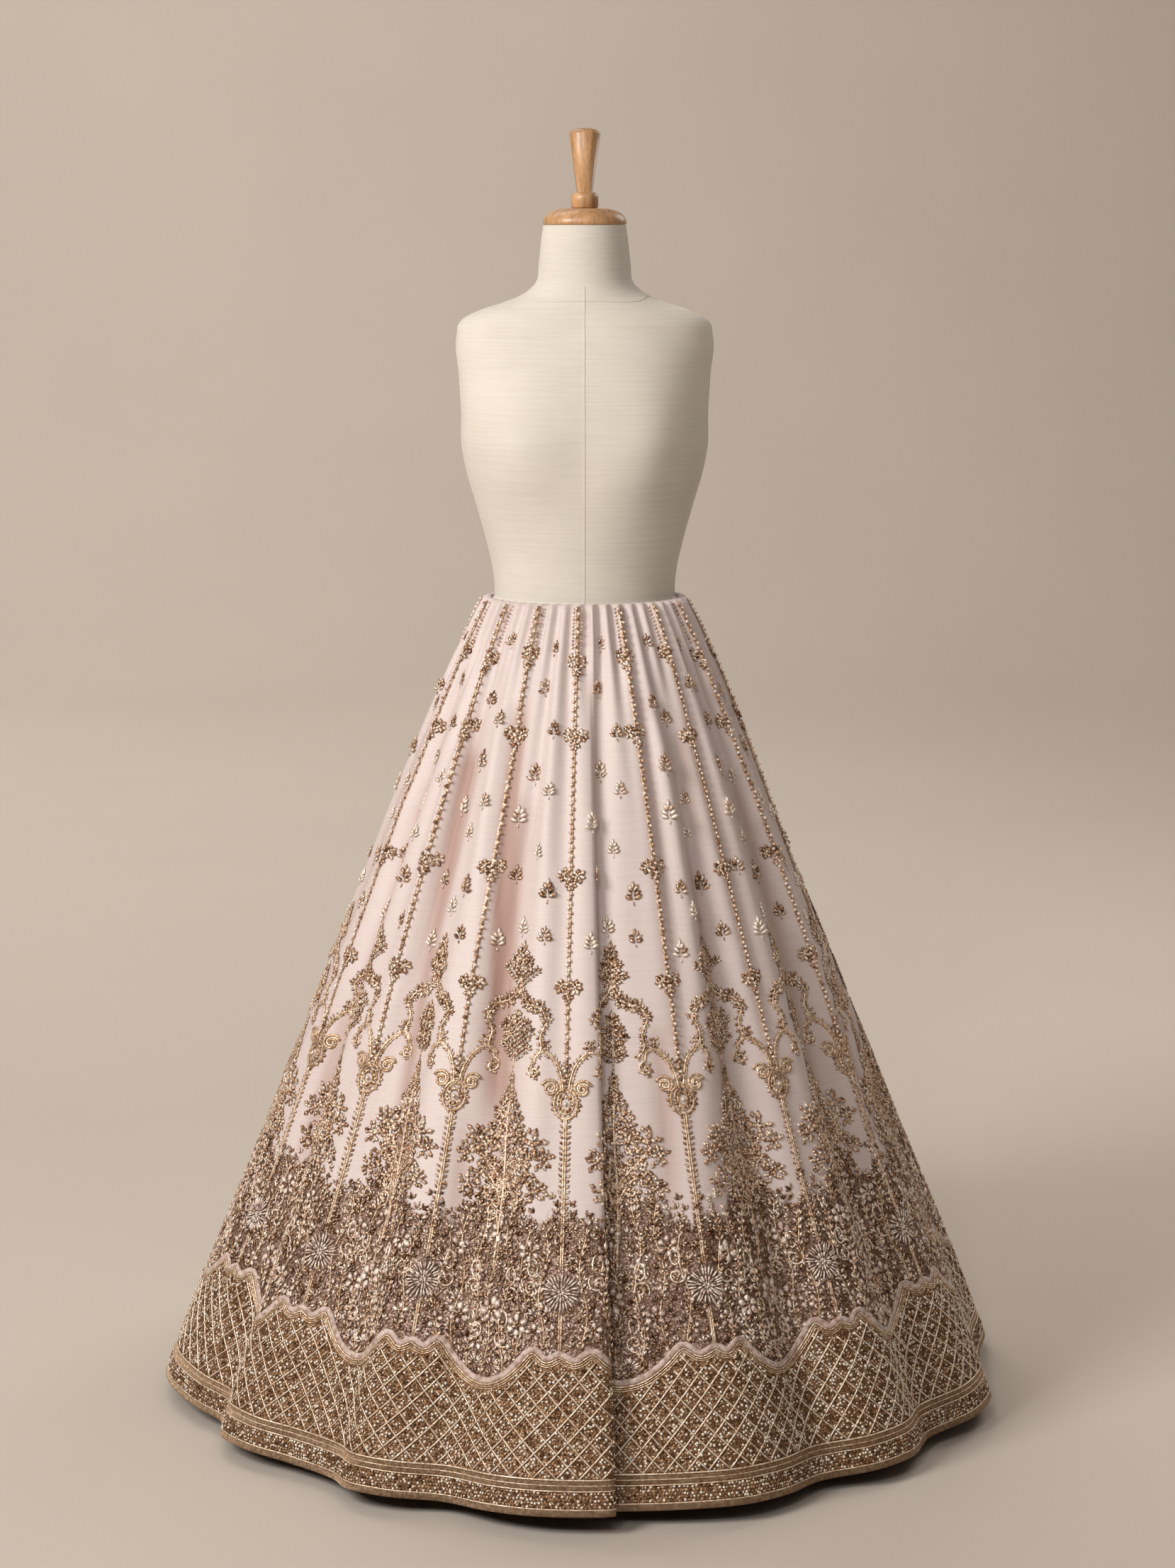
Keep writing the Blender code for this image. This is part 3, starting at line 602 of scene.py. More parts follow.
def cloth_wall(name, columns, heights, lift, thickness):
    """A wall that lies lift outside the skirt's face, with heights by row and column."""
    point, _, _, outward = skirt_frame(np.broadcast_to(columns, heights.shape), heights)
    outer = point + outward * lift
    inner = outer - outward * thickness
    map_columns = np.append(columns, KALI_COUNT)
    map_heights = np.concatenate([heights, heights[:, :1]], axis=1)
    across = np.broadcast_to(map_columns, map_heights.shape) * KALI_WIDTHS[:, -1].mean()
    return wall_mesh(name, outer, inner, across, map_heights)


# Low-poly shapes for what is repeated by the thousand: x across, y along and z out of the cloth.
SMALL_LEAF = (
    ((0, 0, 0.25), (0.5, 0.55, 0.25), (0, 1, 0.25), (-0.5, 0.55, 0.25), (0, 0.50, 1)),
    ((0, 1, 4), (1, 2, 4), (2, 3, 4), (3, 0, 4), (0, 3, 2), (0, 2, 1)),
)
LEAF = (
    (
        (0, 0, 0.2), (0.36, 0.26, 0.25), (0.46, 0.60, 0.25), (0, 1, 0.2),
        (-0.46, 0.60, 0.25), (-0.36, 0.26, 0.25), (0, 0.28, 0.85), (0, 0.62, 1),
    ),
    (
        (0, 1, 6), (0, 6, 5), (1, 2, 7), (1, 7, 6), (6, 7, 4), (6, 4, 5), (2, 3, 7), (7, 3, 4),
        (0, 5, 1), (1, 5, 4), (1, 4, 2), (2, 4, 3),
    ),
)
BEAD = (
    ((0.5, 0, 0.45), (0, 0.5, 0.45), (-0.5, 0, 0.45), (0, -0.5, 0.45), (0, 0, 1), (0, 0, 0)),
    ((0, 1, 4), (1, 2, 4), (2, 3, 4), (3, 0, 4), (1, 0, 5), (2, 1, 5), (3, 2, 5), (0, 3, 5)),
)
SEQUIN_CORNERS = 5
SEQUIN = (
    tuple(
        (0.5 * math.cos(math.tau * i / SEQUIN_CORNERS), 0.5 * math.sin(math.tau * i / SEQUIN_CORNERS), 0.7)
        for i in range(SEQUIN_CORNERS)
    ) + ((0, 0, 1), (0, 0, 0.3)),
    tuple((i, (i + 1) % SEQUIN_CORNERS, SEQUIN_CORNERS) for i in range(SEQUIN_CORNERS))
    + tuple(((i + 1) % SEQUIN_CORNERS, i, SEQUIN_CORNERS + 1) for i in range(SEQUIN_CORNERS)),
)


def as_columns(cloth, height):
    """Places as columns of an array, to be spread over the steps of a motif in its rows."""
    return np.reshape(cloth, (-1, 1)), np.reshape(height, (-1, 1))


class Stitches:
    """Small pieces of one shape on the cloth: the place, turn and size of each one."""

    def __init__(self):
        self.laid = []

    def lay(self, cloth, height, turn=0.0, length=0.005, width=0.002, rise=0.001, lift=0.0, tone=0.5):
        values = np.broadcast_arrays(cloth, height, turn, length, width, rise, lift, tone)
        self.laid.append(np.stack([np.ravel(value).astype(float) for value in values], axis=1))

    def spray(self, cloth, height, path, leaf, spacing, spread, taper):
        """Pairs of leaves along a path, smaller towards its end."""
        points, heading = walk(path, spacing)
        size = leaf * (1 - (1 - taper) * np.linspace(0, 1, len(points)))
        place = beside(*as_columns(cloth, height), points[:, 0], points[:, 1])
        for side in (-1, 1):
            self.lay(*place, heading + side * spread, size, size * 0.40, size * 0.16)

    def plume(self, cloth, height, path, reach, leaf=0.0068, spacing=0.0070, spindle=0.0, tone=0.5):
        """Side sprays of leaves along a path, shorter towards its end, or towards both with a spindle."""
        points, heading = walk(path, spacing)
        share = np.linspace(0, 1, len(points))
        outline = np.sin(math.pi * (spindle + (0.90 - spindle) * share)) if spindle else 1 - 0.72 * share
        sizes = reach * outline * (1 + 0.20 * np.sin(2.4 * np.arange(len(points)) + 40 * reach))
        cloth, height = as_columns(cloth, height)
        for (across, up), ahead, size in zip(points, heading, sizes):
            count = max(1, int(round(size / (leaf * 0.62))))
            along = np.linspace(0.3 / count, 1, count) * max(size - leaf, leaf * 0.2)
            for side in (-1, 1):
                angle = ahead + side * 0.85
                place = beside(cloth, height, across + along * math.sin(angle), up + along * math.cos(angle))
                end = [part[:, -1] for part in place]
                for *where, turn in ((*place, -0.75), (*place, 0.75), (*end, 0.0)):
                    self.lay(*where, angle + turn, leaf, leaf * 0.44, leaf * 0.24, tone=tone)
        end = beside(cloth, height, *points[-1])
        self.lay(*end, heading[-1], leaf * 1.4, leaf * 0.55, leaf * 0.30, tone=tone)

    def fan(self, cloth, height, across, up, radius, tone=0.5, turn=0.0):
        """A rounded, uneven head of short leaves in rings, across and up from a place."""
        cloth, height = as_columns(cloth, height)
        leaf = radius * 0.52
        for reach, count in ((1.0, 12), (0.74, 8), (0.40, 5)):
            order = np.arange(count)
            angles = turn + 2 * reach + (order + 0.3 * np.sin(2.3 * order)) * math.tau / count
            out = reach * radius * (1 + 0.13 * np.sin(3 * angles + turn)) - leaf
            place = beside(cloth, height, across + out * np.sin(angles), up + out * np.cos(angles))
            angles = angles + 0.4 * np.sin(5 * angles + turn)
            self.lay(*place, angles, leaf, leaf * 0.68, leaf * 0.34, tone=tone)

    def blossom(self, cloth, height, radius, petals, hollow, width, tone, turn=0.0, arc=math.tau):
        """Petals that stand round a centre, each starting a share of the radius away from it."""
        angles = turn + np.arange(petals) * arc / petals
        cloth, height = as_columns(cloth, height)
        start = radius * hollow
        place = beside(cloth, height, start * np.sin(angles), start * np.cos(angles))
        length = radius - start
        self.lay(*place, angles, length, width * length, 0.20 * length, tone=tone)

    def build(self, name, shape, tilt=0.0, seed=1):
        """One mesh of all that is laid, each a little uneven in turn, size and tone."""
        rows = np.concatenate(self.laid)
        cloth, height, turn, length, width, rise, lift, tone = rows.T
        random = np.random.default_rng(seed)
        count = len(rows)
        turn = turn + random.normal(0, 0.10, count)
        length = length * random.uniform(0.88, 1.12, count)
        tone = np.clip(tone + random.normal(0, 0.22, count), 0, 1)
        lean = random.normal(0, tilt, (2, count)) if tilt else np.zeros((2, count))
        point, across, up, outward = skirt_frame(cloth, height)
        sine, cosine = np.sin(turn)[:, None], np.cos(turn)[:, None]
        ahead = across * sine + up * cosine
        side = across * cosine - up * sine
        corners = np.array(shape[0], float)
        sizes = np.stack([width, length, rise], axis=1)
        x, y, z = np.moveaxis(corners[None] * sizes[:, None], 2, 0)
        z = z + lift[:, None] + STITCH_LIFT
        z = z + x * lean[0][:, None] + y * lean[1][:, None]
        points = (
            point[:, None, :]
            + x[..., None] * side[:, None, :]
            + y[..., None] * ahead[:, None, :]
            + z[..., None] * outward[:, None, :]
        )
        faces = np.array(shape[1])[None] + np.arange(count)[:, None, None] * len(corners)
        obj = mesh_from(name, points.reshape(-1, 3), faces.reshape(-1, 3), smooth=not tilt)
        set_attribute(obj, "tone", np.repeat(tone, len(corners)))
        return obj


class Cords:
    """Cords couched on the cloth, each a run of places with a half width and a height."""

    def __init__(self):
        self.runs = []

    def run(self, cloth, height, radius=0.001, flat=0.8, lift=0.0, tone=0.5, closed=False):
        self.runs.append((np.ravel(cloth), np.ravel(height), radius, flat, lift, tone, closed))

    def curve(self, cloth, height, path, spacing=0.004, **looks):
        """A cord along a path of (across, up) points, from each of the places given."""
        points, _ = walk(path, spacing)
        for place in zip(*(np.ravel(value) for value in np.broadcast_arrays(cloth, height))):
            self.run(*beside(*place, points[:, 0], points[:, 1]), **looks)

    def build(self, name, sides=5):
        cloth = np.concatenate([run[0] for run in self.runs])
        height = np.concatenate([run[1] for run in self.runs])
        point, _, _, outward = skirt_frame(cloth, height)
        ring = np.arange(sides) * math.tau / sides + math.pi / sides
        points, faces, tones = [], [], []
        start, base = 0, 0
        for run_cloth, _, radius, flat, lift, tone, closed in self.runs:
            count = len(run_cloth)
            here = point[start : start + count]
            out = outward[start : start + count]
            start += count
            side = unit(np.cross(unit(heading_along(here, closed)), out))
            centre = here + out * (lift + radius * flat * 0.7)
            loop = (
                centre[:, None, :]
                + radius * np.cos(ring)[None, :, None] * side[:, None, :]
                + radius * flat * np.sin(ring)[None, :, None] * out[:, None, :]
            )
            points.append(loop.reshape(-1, 3))
            tones.append(np.full(count * sides, tone))
            first, second, third, fourth = quads(count, sides, closed)
            faces.append(base + np.stack([first, fourth, third], axis=1))
            faces.append(base + np.stack([first, third, second], axis=1))
            if not closed:
                fan = np.arange(1, sides - 1)
                faces.append(base + np.stack([np.zeros_like(fan), fan + 1, fan], axis=1))
                final = (count - 1) * sides
                faces.append(base + final + np.stack([np.zeros_like(fan), fan, fan + 1], axis=1))
            base += count * sides
        obj = mesh_from(name, np.concatenate(points), np.concatenate(faces))
        set_attribute(obj, "tone", np.concatenate(tones))
        return obj


def walk(path, spacing):
    """Evenly spaced points on a smooth curve through a path's points, and the heading at each."""
    path = np.array(path, float)
    knots = np.concatenate([[0], np.cumsum(np.hypot(*np.diff(path, axis=0).T))])
    at = np.linspace(0, knots[-1], max(2, int(round(knots[-1] / spacing)) + 1))
    points = np.stack([smooth_curve(knots, path[:, i], at) for i in (0, 1)], axis=1)
    ahead = np.gradient(points, axis=0)
    return points, np.arctan2(ahead[:, 0], ahead[:, 1])


def mirrored(path, side):
    """The path as it is for side 1, and mirrored for side -1."""
    return [(side * x, y) for x, y in path]


def straight_up(*heights):
    return [(0.0, height) for height in heights]


def spiral(centre, radius, turns, start, hand=1, points=22):
    """A volute that winds in from its outer radius."""
    share = np.linspace(0, 1, points)
    angle = start + hand * share * turns * math.tau
    reach = radius * (1 - 0.82 * share)
    return np.stack([centre[0] + reach * np.cos(angle), centre[1] + reach * np.sin(angle)], axis=1)


def oval(half_width, half_height, points=18, rise=0.0):
    angle = np.linspace(0, math.tau, points)
    return np.stack([half_width * np.sin(angle), rise + half_height * np.cos(angle)], axis=1)


SEAMS = np.arange(KALI_COUNT).astype(float)
MIDDLES = SEAMS + 0.5


def feed(tree, socket, value):
    """Links a socket to another one, or sets it to a value."""
    if isinstance(value, bpy.types.NodeSocket):
        tree.links.new(value, socket)
    else:
        socket.default_value = value


def add_node(tree, kind, **sockets):
    """A node with its sockets fed by name, in lower case and with _ for a space."""
    made = tree.nodes.new(kind)
    for name, value in sockets.items():
        wanted = name.replace("_", " ")
        feed(tree, next(put for put in made.inputs if put.name.lower() == wanted and put.enabled), value)
    return made


def maths(tree, operation, first, second):
    made = tree.nodes.new("ShaderNodeMath")
    made.operation = operation
    for socket, value in zip(made.inputs, (first, second)):
        feed(tree, socket, value)
    return made.outputs[0]


def plus(tree, first, second):
    return maths(tree, "ADD", first, second)


def minus(tree, first, second):
    return maths(tree, "SUBTRACT", first, second)


def times(tree, first, second):
    return maths(tree, "MULTIPLY", first, second)


def blend(tree, first, share, second, other_share):
    """The sum of two values, each taken by its share."""
    return plus(tree, times(tree, first, share), times(tree, second, other_share))


def mix_colours(tree, factor, first, second, blend_type="MIX"):
    made = tree.nodes.new("ShaderNodeMix")
    made.data_type = "RGBA"
    made.blend_type = blend_type
    feed(tree, made.inputs[0], factor)
    for socket, colour in ((made.inputs[6], first), (made.inputs[7], second)):
        feed(tree, socket, colour if isinstance(colour, bpy.types.NodeSocket) else (*colour, 1.0))
    return made.outputs[2]


def ramp(tree, factor, *stops):
    """A colour ramp from (position, colour) stops."""
    made = tree.nodes.new("ShaderNodeValToRGB")
    elements = made.color_ramp.elements
    while len(elements) < len(stops):
        elements.new(0.5)
    for element, (position, colour) in zip(elements, stops):
        element.position = position
        element.color = (*colour, 1.0)
    tree.links.new(factor, made.inputs[0])
    return made.outputs[0]


def shades(colour, *strengths):
    """The colour at each of several strengths, at most 1 in each channel."""
    return [tuple(min(1.0, strength * channel) for channel in colour) for strength in strengths]


def noise(tree, place, scale, detail, **more):
    made = add_node(tree, "ShaderNodeTexNoise", vector=place, scale=scale, detail=detail, **more)
    return made.outputs[0]


def split(tree, vector):
    return add_node(tree, "ShaderNodeSeparateXYZ", vector=vector).outputs


def cloth_map(tree):
    """The cloth's own map, in metres across and up."""
    made = tree.nodes.new("ShaderNodeUVMap")
    made.uv_map = "cloth"
    return made.outputs[0]


def object_place(tree):
    return tree.nodes.new("ShaderNodeTexCoord").outputs["Object"]


def attribute(tree, name):
    made = tree.nodes.new("ShaderNodeAttribute")
    made.attribute_name = name
    return made.outputs["Fac"]


def scaled(tree, vector, scale):
    made = tree.nodes.new("ShaderNodeMapping")
    tree.links.new(vector, made.inputs["Vector"])
    made.inputs["Scale"].default_value = scale
    return made.outputs[0]


def new_group(name, inputs, outputs):
    """A shader node group with its input and output nodes. inputs and outputs are (name, type)."""
    if name in bpy.data.node_groups:
        return bpy.data.node_groups[name], None, None
    tree = bpy.data.node_groups.new(name, "ShaderNodeTree")
    for way, sockets in (("INPUT", inputs), ("OUTPUT", outputs)):
        for label, kind in sockets:
            tree.interface.new_socket(label, in_out=way, socket_type=kind)
    return tree, tree.nodes.new("NodeGroupInput"), tree.nodes.new("NodeGroupOutput")


def slub_weave():
    """Plain-woven cloth with thick places in its yarn, read from a map in metres."""
    tree, given, made = new_group(
        "slub weave",
        (("Map", "NodeSocketVector"), ("Threads", "NodeSocketFloat"), ("Slub", "NodeSocketFloat")),
        (("Height", "NodeSocketFloat"), ("Streaks", "NodeSocketFloat")),
    )
    if given is None:
        return tree
    across, up, _ = split(tree, given.outputs["Map"])
    threads = times(tree, given.outputs["Threads"], math.tau)
    warp, weft = (maths(tree, "SINE", times(tree, way, threads), 0.0) for way in (across, up))
    long_streaks = noise(tree, scaled(tree, given.outputs["Map"], (9.0, 420.0, 9.0)), 1.0, 3.0)
    fine_streaks = noise(tree, scaled(tree, given.outputs["Map"], (45.0, 1500.0, 45.0)), 1.0, 2.0)
    streaks = times(tree, plus(tree, long_streaks, times(tree, fine_streaks, 0.5)), 0.6667)
    slubs = times(tree, maths(tree, "POWER", streaks, 3.0), given.outputs["Slub"])
    yarns = times(tree, times(tree, warp, weft), 0.12)
    tree.links.new(plus(tree, slubs, yarns), made.inputs["Height"])
    tree.links.new(streaks, made.inputs["Streaks"])
    return tree


def stitched_ground():
    """Close gold stitching and tiny beads that fill the cloth between the raised pieces."""
    tree, given, made = new_group(
        "stitched ground",
        (("Map", "NodeSocketVector"), ("Size", "NodeSocketFloat")),
        (("Height", "NodeSocketFloat"), ("Glints", "NodeSocketFloat"), ("Mottle", "NodeSocketFloat")),
    )
    if given is None:
        return tree
    place, size = given.outputs["Map"], given.outputs["Size"]
    cells = add_node(tree, "ShaderNodeTexVoronoi", vector=place, scale=size, randomness=0.85)
    dome = minus(tree, 1.0, maths(tree, "POWER", cells.outputs["Distance"], 1.6))
    mottle = noise(tree, place, 150.0, 4.0)
    tree.links.new(plus(tree, dome, times(tree, mottle, 0.6)), made.inputs["Height"])
    tone = add_node(tree, "ShaderNodeSeparateColor", color=cells.outputs["Color"])
    tree.links.new(tone.outputs[0], made.inputs["Glints"])
    tree.links.new(mottle, made.inputs["Mottle"])
    return tree


def use_group(tree, group, **sockets):
    made = tree.nodes.new("ShaderNodeGroup")
    made.node_tree = group
    for name, value in sockets.items():
        feed(tree, made.inputs[name.capitalize()], value)
    return made.outputs


def new_material(name, **constants):
    """A material with a Principled BSDF whose constant sockets are set."""
    material = bpy.data.materials.new(name)
    material.use_nodes = True
    tree = material.node_tree
    shader = tree.nodes["Principled BSDF"]
    for socket, value in constants.items():
        shader.inputs[socket.replace("_", " ").title().replace("Ior", "IOR")].default_value = value
    return material, tree, shader


def paint(tree, shader, colour):
    tree.links.new(colour, shader.inputs["Base Color"])


def bump(tree, shader, height, strength, distance):
    made = add_node(tree, "ShaderNodeBump", strength=strength, distance=distance, height=height)
    tree.links.new(made.outputs[0], shader.inputs["Normal"])


def silk_material(settings):
    """Blush raw silk with painted shade in its creases, and gold stitching as its ground where the floral
    band is close-set, partly darkened there as painted shade between the raised pieces.
    """
    material, tree, shader = new_material("blush raw silk", sheen_weight=0.25, sheen_roughness=0.35)
    shader.inputs["Sheen Tint"].default_value = (1.0, 0.86, 0.82, 1.0)
    place = cloth_map(tree)
    weave = use_group(tree, slub_weave(), map=place, threads=620.0, slub=settings.slub)
    tint = ramp(tree, weave["Streaks"], *zip((0.30, 0.50, 0.75), shades(settings.silk, 0.92, 1.0, 1.05)))
    # hollow, from each crease's depth, mixes painted fold shade into the silk's colour.
    hollow = times(tree, maths(tree, "POWER", attribute(tree, "hollow"), 1.4), 0.90)
    tint = mix_colours(tree, hollow, tint, settings.shade)
    ground = use_group(tree, stitched_ground(), map=place, size=430.0)
    depth = plus(tree, attribute(tree, "band_depth"), times(tree, ground["Mottle"], 0.030))
    edge = times(tree, minus(tree, depth, 0.018), 90.0)
    filled = maths(tree, "MINIMUM", maths(tree, "MAXIMUM", edge, 0.0), 1.0)
    # Gold stitched ground, darkened in part as painted shade between the raised pieces.
    gold = ramp(tree, blend(tree, ground["Glints"], 0.5, ground["Mottle"], 0.5), *BAND_GROUND)
    paint(tree, shader, mix_colours(tree, filled, tint, gold))
    tree.links.new(times(tree, filled, 0.35), shader.inputs["Metallic"])
    tree.links.new(minus(tree, 0.46, times(tree, filled, 0.06)), shader.inputs["Roughness"])
    relief = times(tree, minus(tree, 1.0, filled), weave["Height"])
    relief = plus(tree, relief, times(tree, filled, times(tree, ground["Height"], 2.2)))
    bump(tree, shader, relief, 0.55, 0.0006)
    return material


def border_material():
    """The hem border's ground: brown-gold stitching, closely set with tiny beads."""
    material, tree, shader = new_material("beaded border ground", roughness=0.42, specular_ior_level=0.20)
    ground = use_group(tree, stitched_ground(), map=cloth_map(tree), size=520.0)
    tone = blend(tree, ground["Glints"], 0.45, ground["Mottle"], 0.55)
    paint(tree, shader, ramp(tree, tone, *BORDER_GROUND))
    tree.links.new(times(tree, ground["Glints"], 0.7), shader.inputs["Metallic"])
    bump(tree, shader, ground["Height"], 0.7, 0.0012)
    return material


def thread_material(thread):
    """Metal thread or beads, toned by each piece's own tone and by the stitches that it is made of, the
    lightest painted up to a glint.
    """
    glitter = thread.glitter
    material, tree, shader = new_material(thread.name, metallic=thread.metallic, specular_ior_level=0.18)
    place = object_place(tree)
    stitches = use_group(tree, stitched_ground(), map=place, size=430.0)
    patch = minus(tree, noise(tree, place, 28.0, 3.0), 0.5)
    mixed = blend(tree, attribute(tree, "tone"), 1 - 0.75 * glitter, stitches["Glints"], glitter)
    mixed = plus(tree, mixed, times(tree, patch, 0.45))
    # The last stop is a painted glint.
    stops = zip((0.12, 0.44, 0.74, 0.92), (thread.dark, thread.mid, thread.light, PAINTED_GLINT))
    paint(tree, shader, ramp(tree, mixed, *stops))
    rough = plus(tree, thread.roughness - 0.08, times(tree, stitches["Mottle"], 0.16))
    tree.links.new(rough, shader.inputs["Roughness"])
    bump(tree, shader, stitches["Height"], 0.6 * glitter + 0.1, 0.0010)
    return material


def braid_material():
    """Flat metal braid with its close cross threads."""
    material, tree, shader = new_material("gold braid", metallic=0.55, roughness=0.44)
    place = cloth_map(tree)
    across, up, _ = split(tree, place)
    ribs = maths(tree, "SINE", blend(tree, across, 3800.0, up, 2400.0), 0.0)
    wear = noise(tree, place, 220.0, 3.0)
    paint(tree, shader, ramp(tree, plus(tree, times(tree, ribs, 0.18), wear), *BRAID_GOLD))
    bump(tree, shader, plus(tree, ribs, wear), 0.8, 0.0008)
    return material


def linen_material(settings):
    """Cream linen stretched over the form, with a fine plain weave and faint handling marks."""
    material, tree, shader = new_material("form linen", roughness=0.88, sheen_weight=0.15)
    place = object_place(tree)
    x, y, z = split(tree, place)
    flat = tree.nodes.new("ShaderNodeCombineXYZ")
    tree.links.new(times(tree, maths(tree, "ARCTAN2", x, y), 0.12), flat.inputs[0])
    tree.links.new(z, flat.inputs[1])
    weave = use_group(tree, slub_weave(), map=flat.outputs[0], threads=850.0, slub=0.35)
    base = ramp(tree, noise(tree, place, 9.0, 4.0), *zip((0.30, 0.70), shades(settings.linen, 0.90, 1.0)))
    fine = ramp(tree, weave["Streaks"], (0.30, (0.90, 0.88, 0.85)), (0.65, (1.0, 1.0, 1.0)))
    paint(tree, shader, mix_colours(tree, 1.0, base, fine, "MULTIPLY"))
    bump(tree, shader, weave["Height"], 0.35, 0.0004)
    return material


def wood_material(settings):
    """Honey-brown turned wood with its grain running up the piece."""
    coat = {"coat_weight": 0.25, "coat_roughness": 0.25}
    material, tree, shader = new_material("turned wood", roughness=0.42, **coat)
    place = object_place(tree)
    grain = noise(tree, scaled(tree, place, (110.0, 110.0, 9.0)), 1.0, 6.0, distortion=0.6)
    pores = noise(tree, scaled(tree, place, (900.0, 900.0, 60.0)), 1.0, 2.0)
    base = ramp(tree, grain, *zip((0.30, 0.50, 0.72), shades(settings.wood, 0.62, 1.0, 1.25)))
    dark = ramp(tree, pores, (0.30, (0.72, 0.66, 0.60)), (0.50, (1.0, 1.0, 1.0)))
    paint(tree, shader, mix_colours(tree, 0.8, base, dark, "MULTIPLY"))
    bump(tree, shader, pores, 0.12, 0.0003)
    return material


def roll_material():
    """The padded silk roll along the scallops, with the pull of its stitches."""
    material, tree, shader = new_material("padded silk roll", roughness=0.5, sheen_weight=0.3)
    pulls = noise(tree, object_place(tree), 160.0, 3.0)
    paint(tree, shader, ramp(tree, pulls, (0.35, (0.36, 0.235, 0.190)), (0.65, (0.70, 0.560, 0.500))))
    bump(tree, shader, pulls, 0.5, 0.0012)
    return material


def casing_material(settings):
    """The waist casing's plain silk."""
    material, tree, shader = new_material("casing silk", roughness=0.5, sheen_weight=0.2)
    weave = use_group(tree, slub_weave(), map=object_place(tree), threads=620.0, slub=0.6)
    paint(tree, shader, ramp(tree, weave["Streaks"], *zip((0.3, 0.6), shades(settings.silk, 0.8, 1.0))))
    bump(tree, shader, weave["Height"], 0.4, 0.0005)
    return material


def paper_material(settings):
    material, tree, shader = new_material("studio paper", roughness=0.95)
    mottle = noise(tree, object_place(tree), 1.2, 3.0)
    paint(tree, shader, ramp(tree, mottle, *zip((0.2, 0.8), shades(settings.floor, 0.95, 1.0))))
    return material


def colour_property(name, description, colour):
    return bpy.props.FloatVectorProperty(
        name=name, description=description, subtype="COLOR", default=colour, min=0, max=1
    )


class SkirtSettings(bpy.types.PropertyGroup):
    silk: colour_property("Silk", "Colour of the raw silk", PALE_SILK)
    # The painted shade in the silk's folds.
    shade: colour_property("Shade", "Colour of the silk deep in its folds", PAINTED_FOLD_SHADE)
    slub: bpy.props.FloatProperty(
        name="Slub", description="How strongly thick yarns show in the silk", default=0.9, min=0, max=3
    )
    bead: bpy.props.FloatProperty(
        name="Bead", description="Width of the beads along the seams", default=0.0040, unit="LENGTH"
    )
    sequin: bpy.props.FloatProperty(
        name="Sequin", description="Width of the sequins in the hem border", default=0.0036, unit="LENGTH"
    )


class FormSettings(bpy.types.PropertyGroup):
    linen: colour_property("Linen", "Colour of the form's cover", LINEN)
    wood: colour_property("Wood", "Colour of the cap, handle and stand", WOOD)


class StageSettings(bpy.types.PropertyGroup):
    floor: colour_property("Floor", "Colour of the floor and backdrop", PAPER)
    key: bpy.props.FloatProperty(
        name="Key light", description="Power of the key light", default=138.0, unit="POWER"
    )


def settings_of(context, part):
    return getattr(context.scene, f"lehenga_{part}")


class LEHENGA_OT_silk(bpy.types.Operator):
    """Makes the skirt's silk, gathered at the waist and creased, in place of the kalis"""

    bl_idname = "lehenga.silk"
    bl_label = "Skirt silk"

    def execute(self, context):
        columns = cloth_columns(19, 26)
        top = np.linspace(SLOPE, SLOPE - 0.16, 22)[:-1]
        rows = np.concatenate([top, np.linspace(top[-1] - 0.010, 0.0, 74)])
        cloth, heights = np.meshgrid(columns, rows)
        obj = cloth_wall("skirt_silk", columns, heights, 0.0, CLOTH)
        set_attribute(obj, "band_depth", np.tile((band_top(cloth) - heights).ravel(), 2))
        # How deep each place lies in a crease, which sets the painted fold shade in the silk.
        hollow = np.clip(-crease_rise(cloth, drop_at(heights)) / DEEP_CREASE, 0, 1)
        set_attribute(obj, "hollow", np.tile(hollow.ravel(), 2))
        finish_piece(obj, silk_material(settings_of(context, "skirt")), "pink_silk", *KALIS)
        return {"FINISHED"}


class LEHENGA_OT_border(bpy.types.Operator):
    """Makes the scalloped hem border on the silk"""

    bl_idname = "lehenga.border"
    bl_label = "Hem border"

    def execute(self, context):
        columns = cloth_columns(24, 26)
        share = np.linspace(1, 0, 18)[:, None]
        heights = share * border_top(columns)[None, :]
        obj = cloth_wall("border_cloth", columns, heights, BORDER_FACE, BORDER_CLOTH)
        finish_piece(obj, border_material(), "gold_work", "hem_border")
        return {"FINISHED"}


class LEHENGA_OT_seam_beads(bpy.types.Operator):
    """Sews two rows of beads down each seam, from the waist to its capital"""

    bl_idname = "lehenga.seam_beads"
    bl_label = "Seam beads"

    def execute(self, context):
        bead = settings_of(context, "skirt").bead
        beads, cords = Stitches(), Cords()
        heights = np.arange(CAPITAL_HEIGHT + 0.028, SLOPE - 0.003, bead * 1.48)
        for first, side in ((0, -1), (1, 1)):
            place = beside(SEAMS[:, None], heights[first::2], side * bead * 0.30, 0.0)
            beads.lay(*place, side * 0.5, bead * 1.24, bead * 1.72, bead * 0.95, lift=0.0004, tone=0.64)
        heights = np.arange(ROSETTE_HEIGHTS[0] + 0.012, SLOPE - 0.003, bead * 1.15)
        for side in (-1, 1):
            place = beside(SEAMS[:, None], heights, side * bead * 1.5, 0.0)
            beads.lay(*place, -side * 0.6, bead * 1.2, bead * 0.75, bead * 0.55, lift=0.0002, tone=0.45)
        obj = beads.build("seam_beads", BEAD, seed=3)
        sew(obj, "champagne beads")
        for seam in SEAMS:
            heights = np.arange(CAPITAL_HEIGHT + 0.024, SLOPE - 0.002, 0.012)
            cords.run(np.full(len(heights), seam), heights, radius=0.0031, flat=0.12, tone=0.34)
        sew(cords.build("seam_cords", 4), "pale cord")
        return {"FINISHED"}


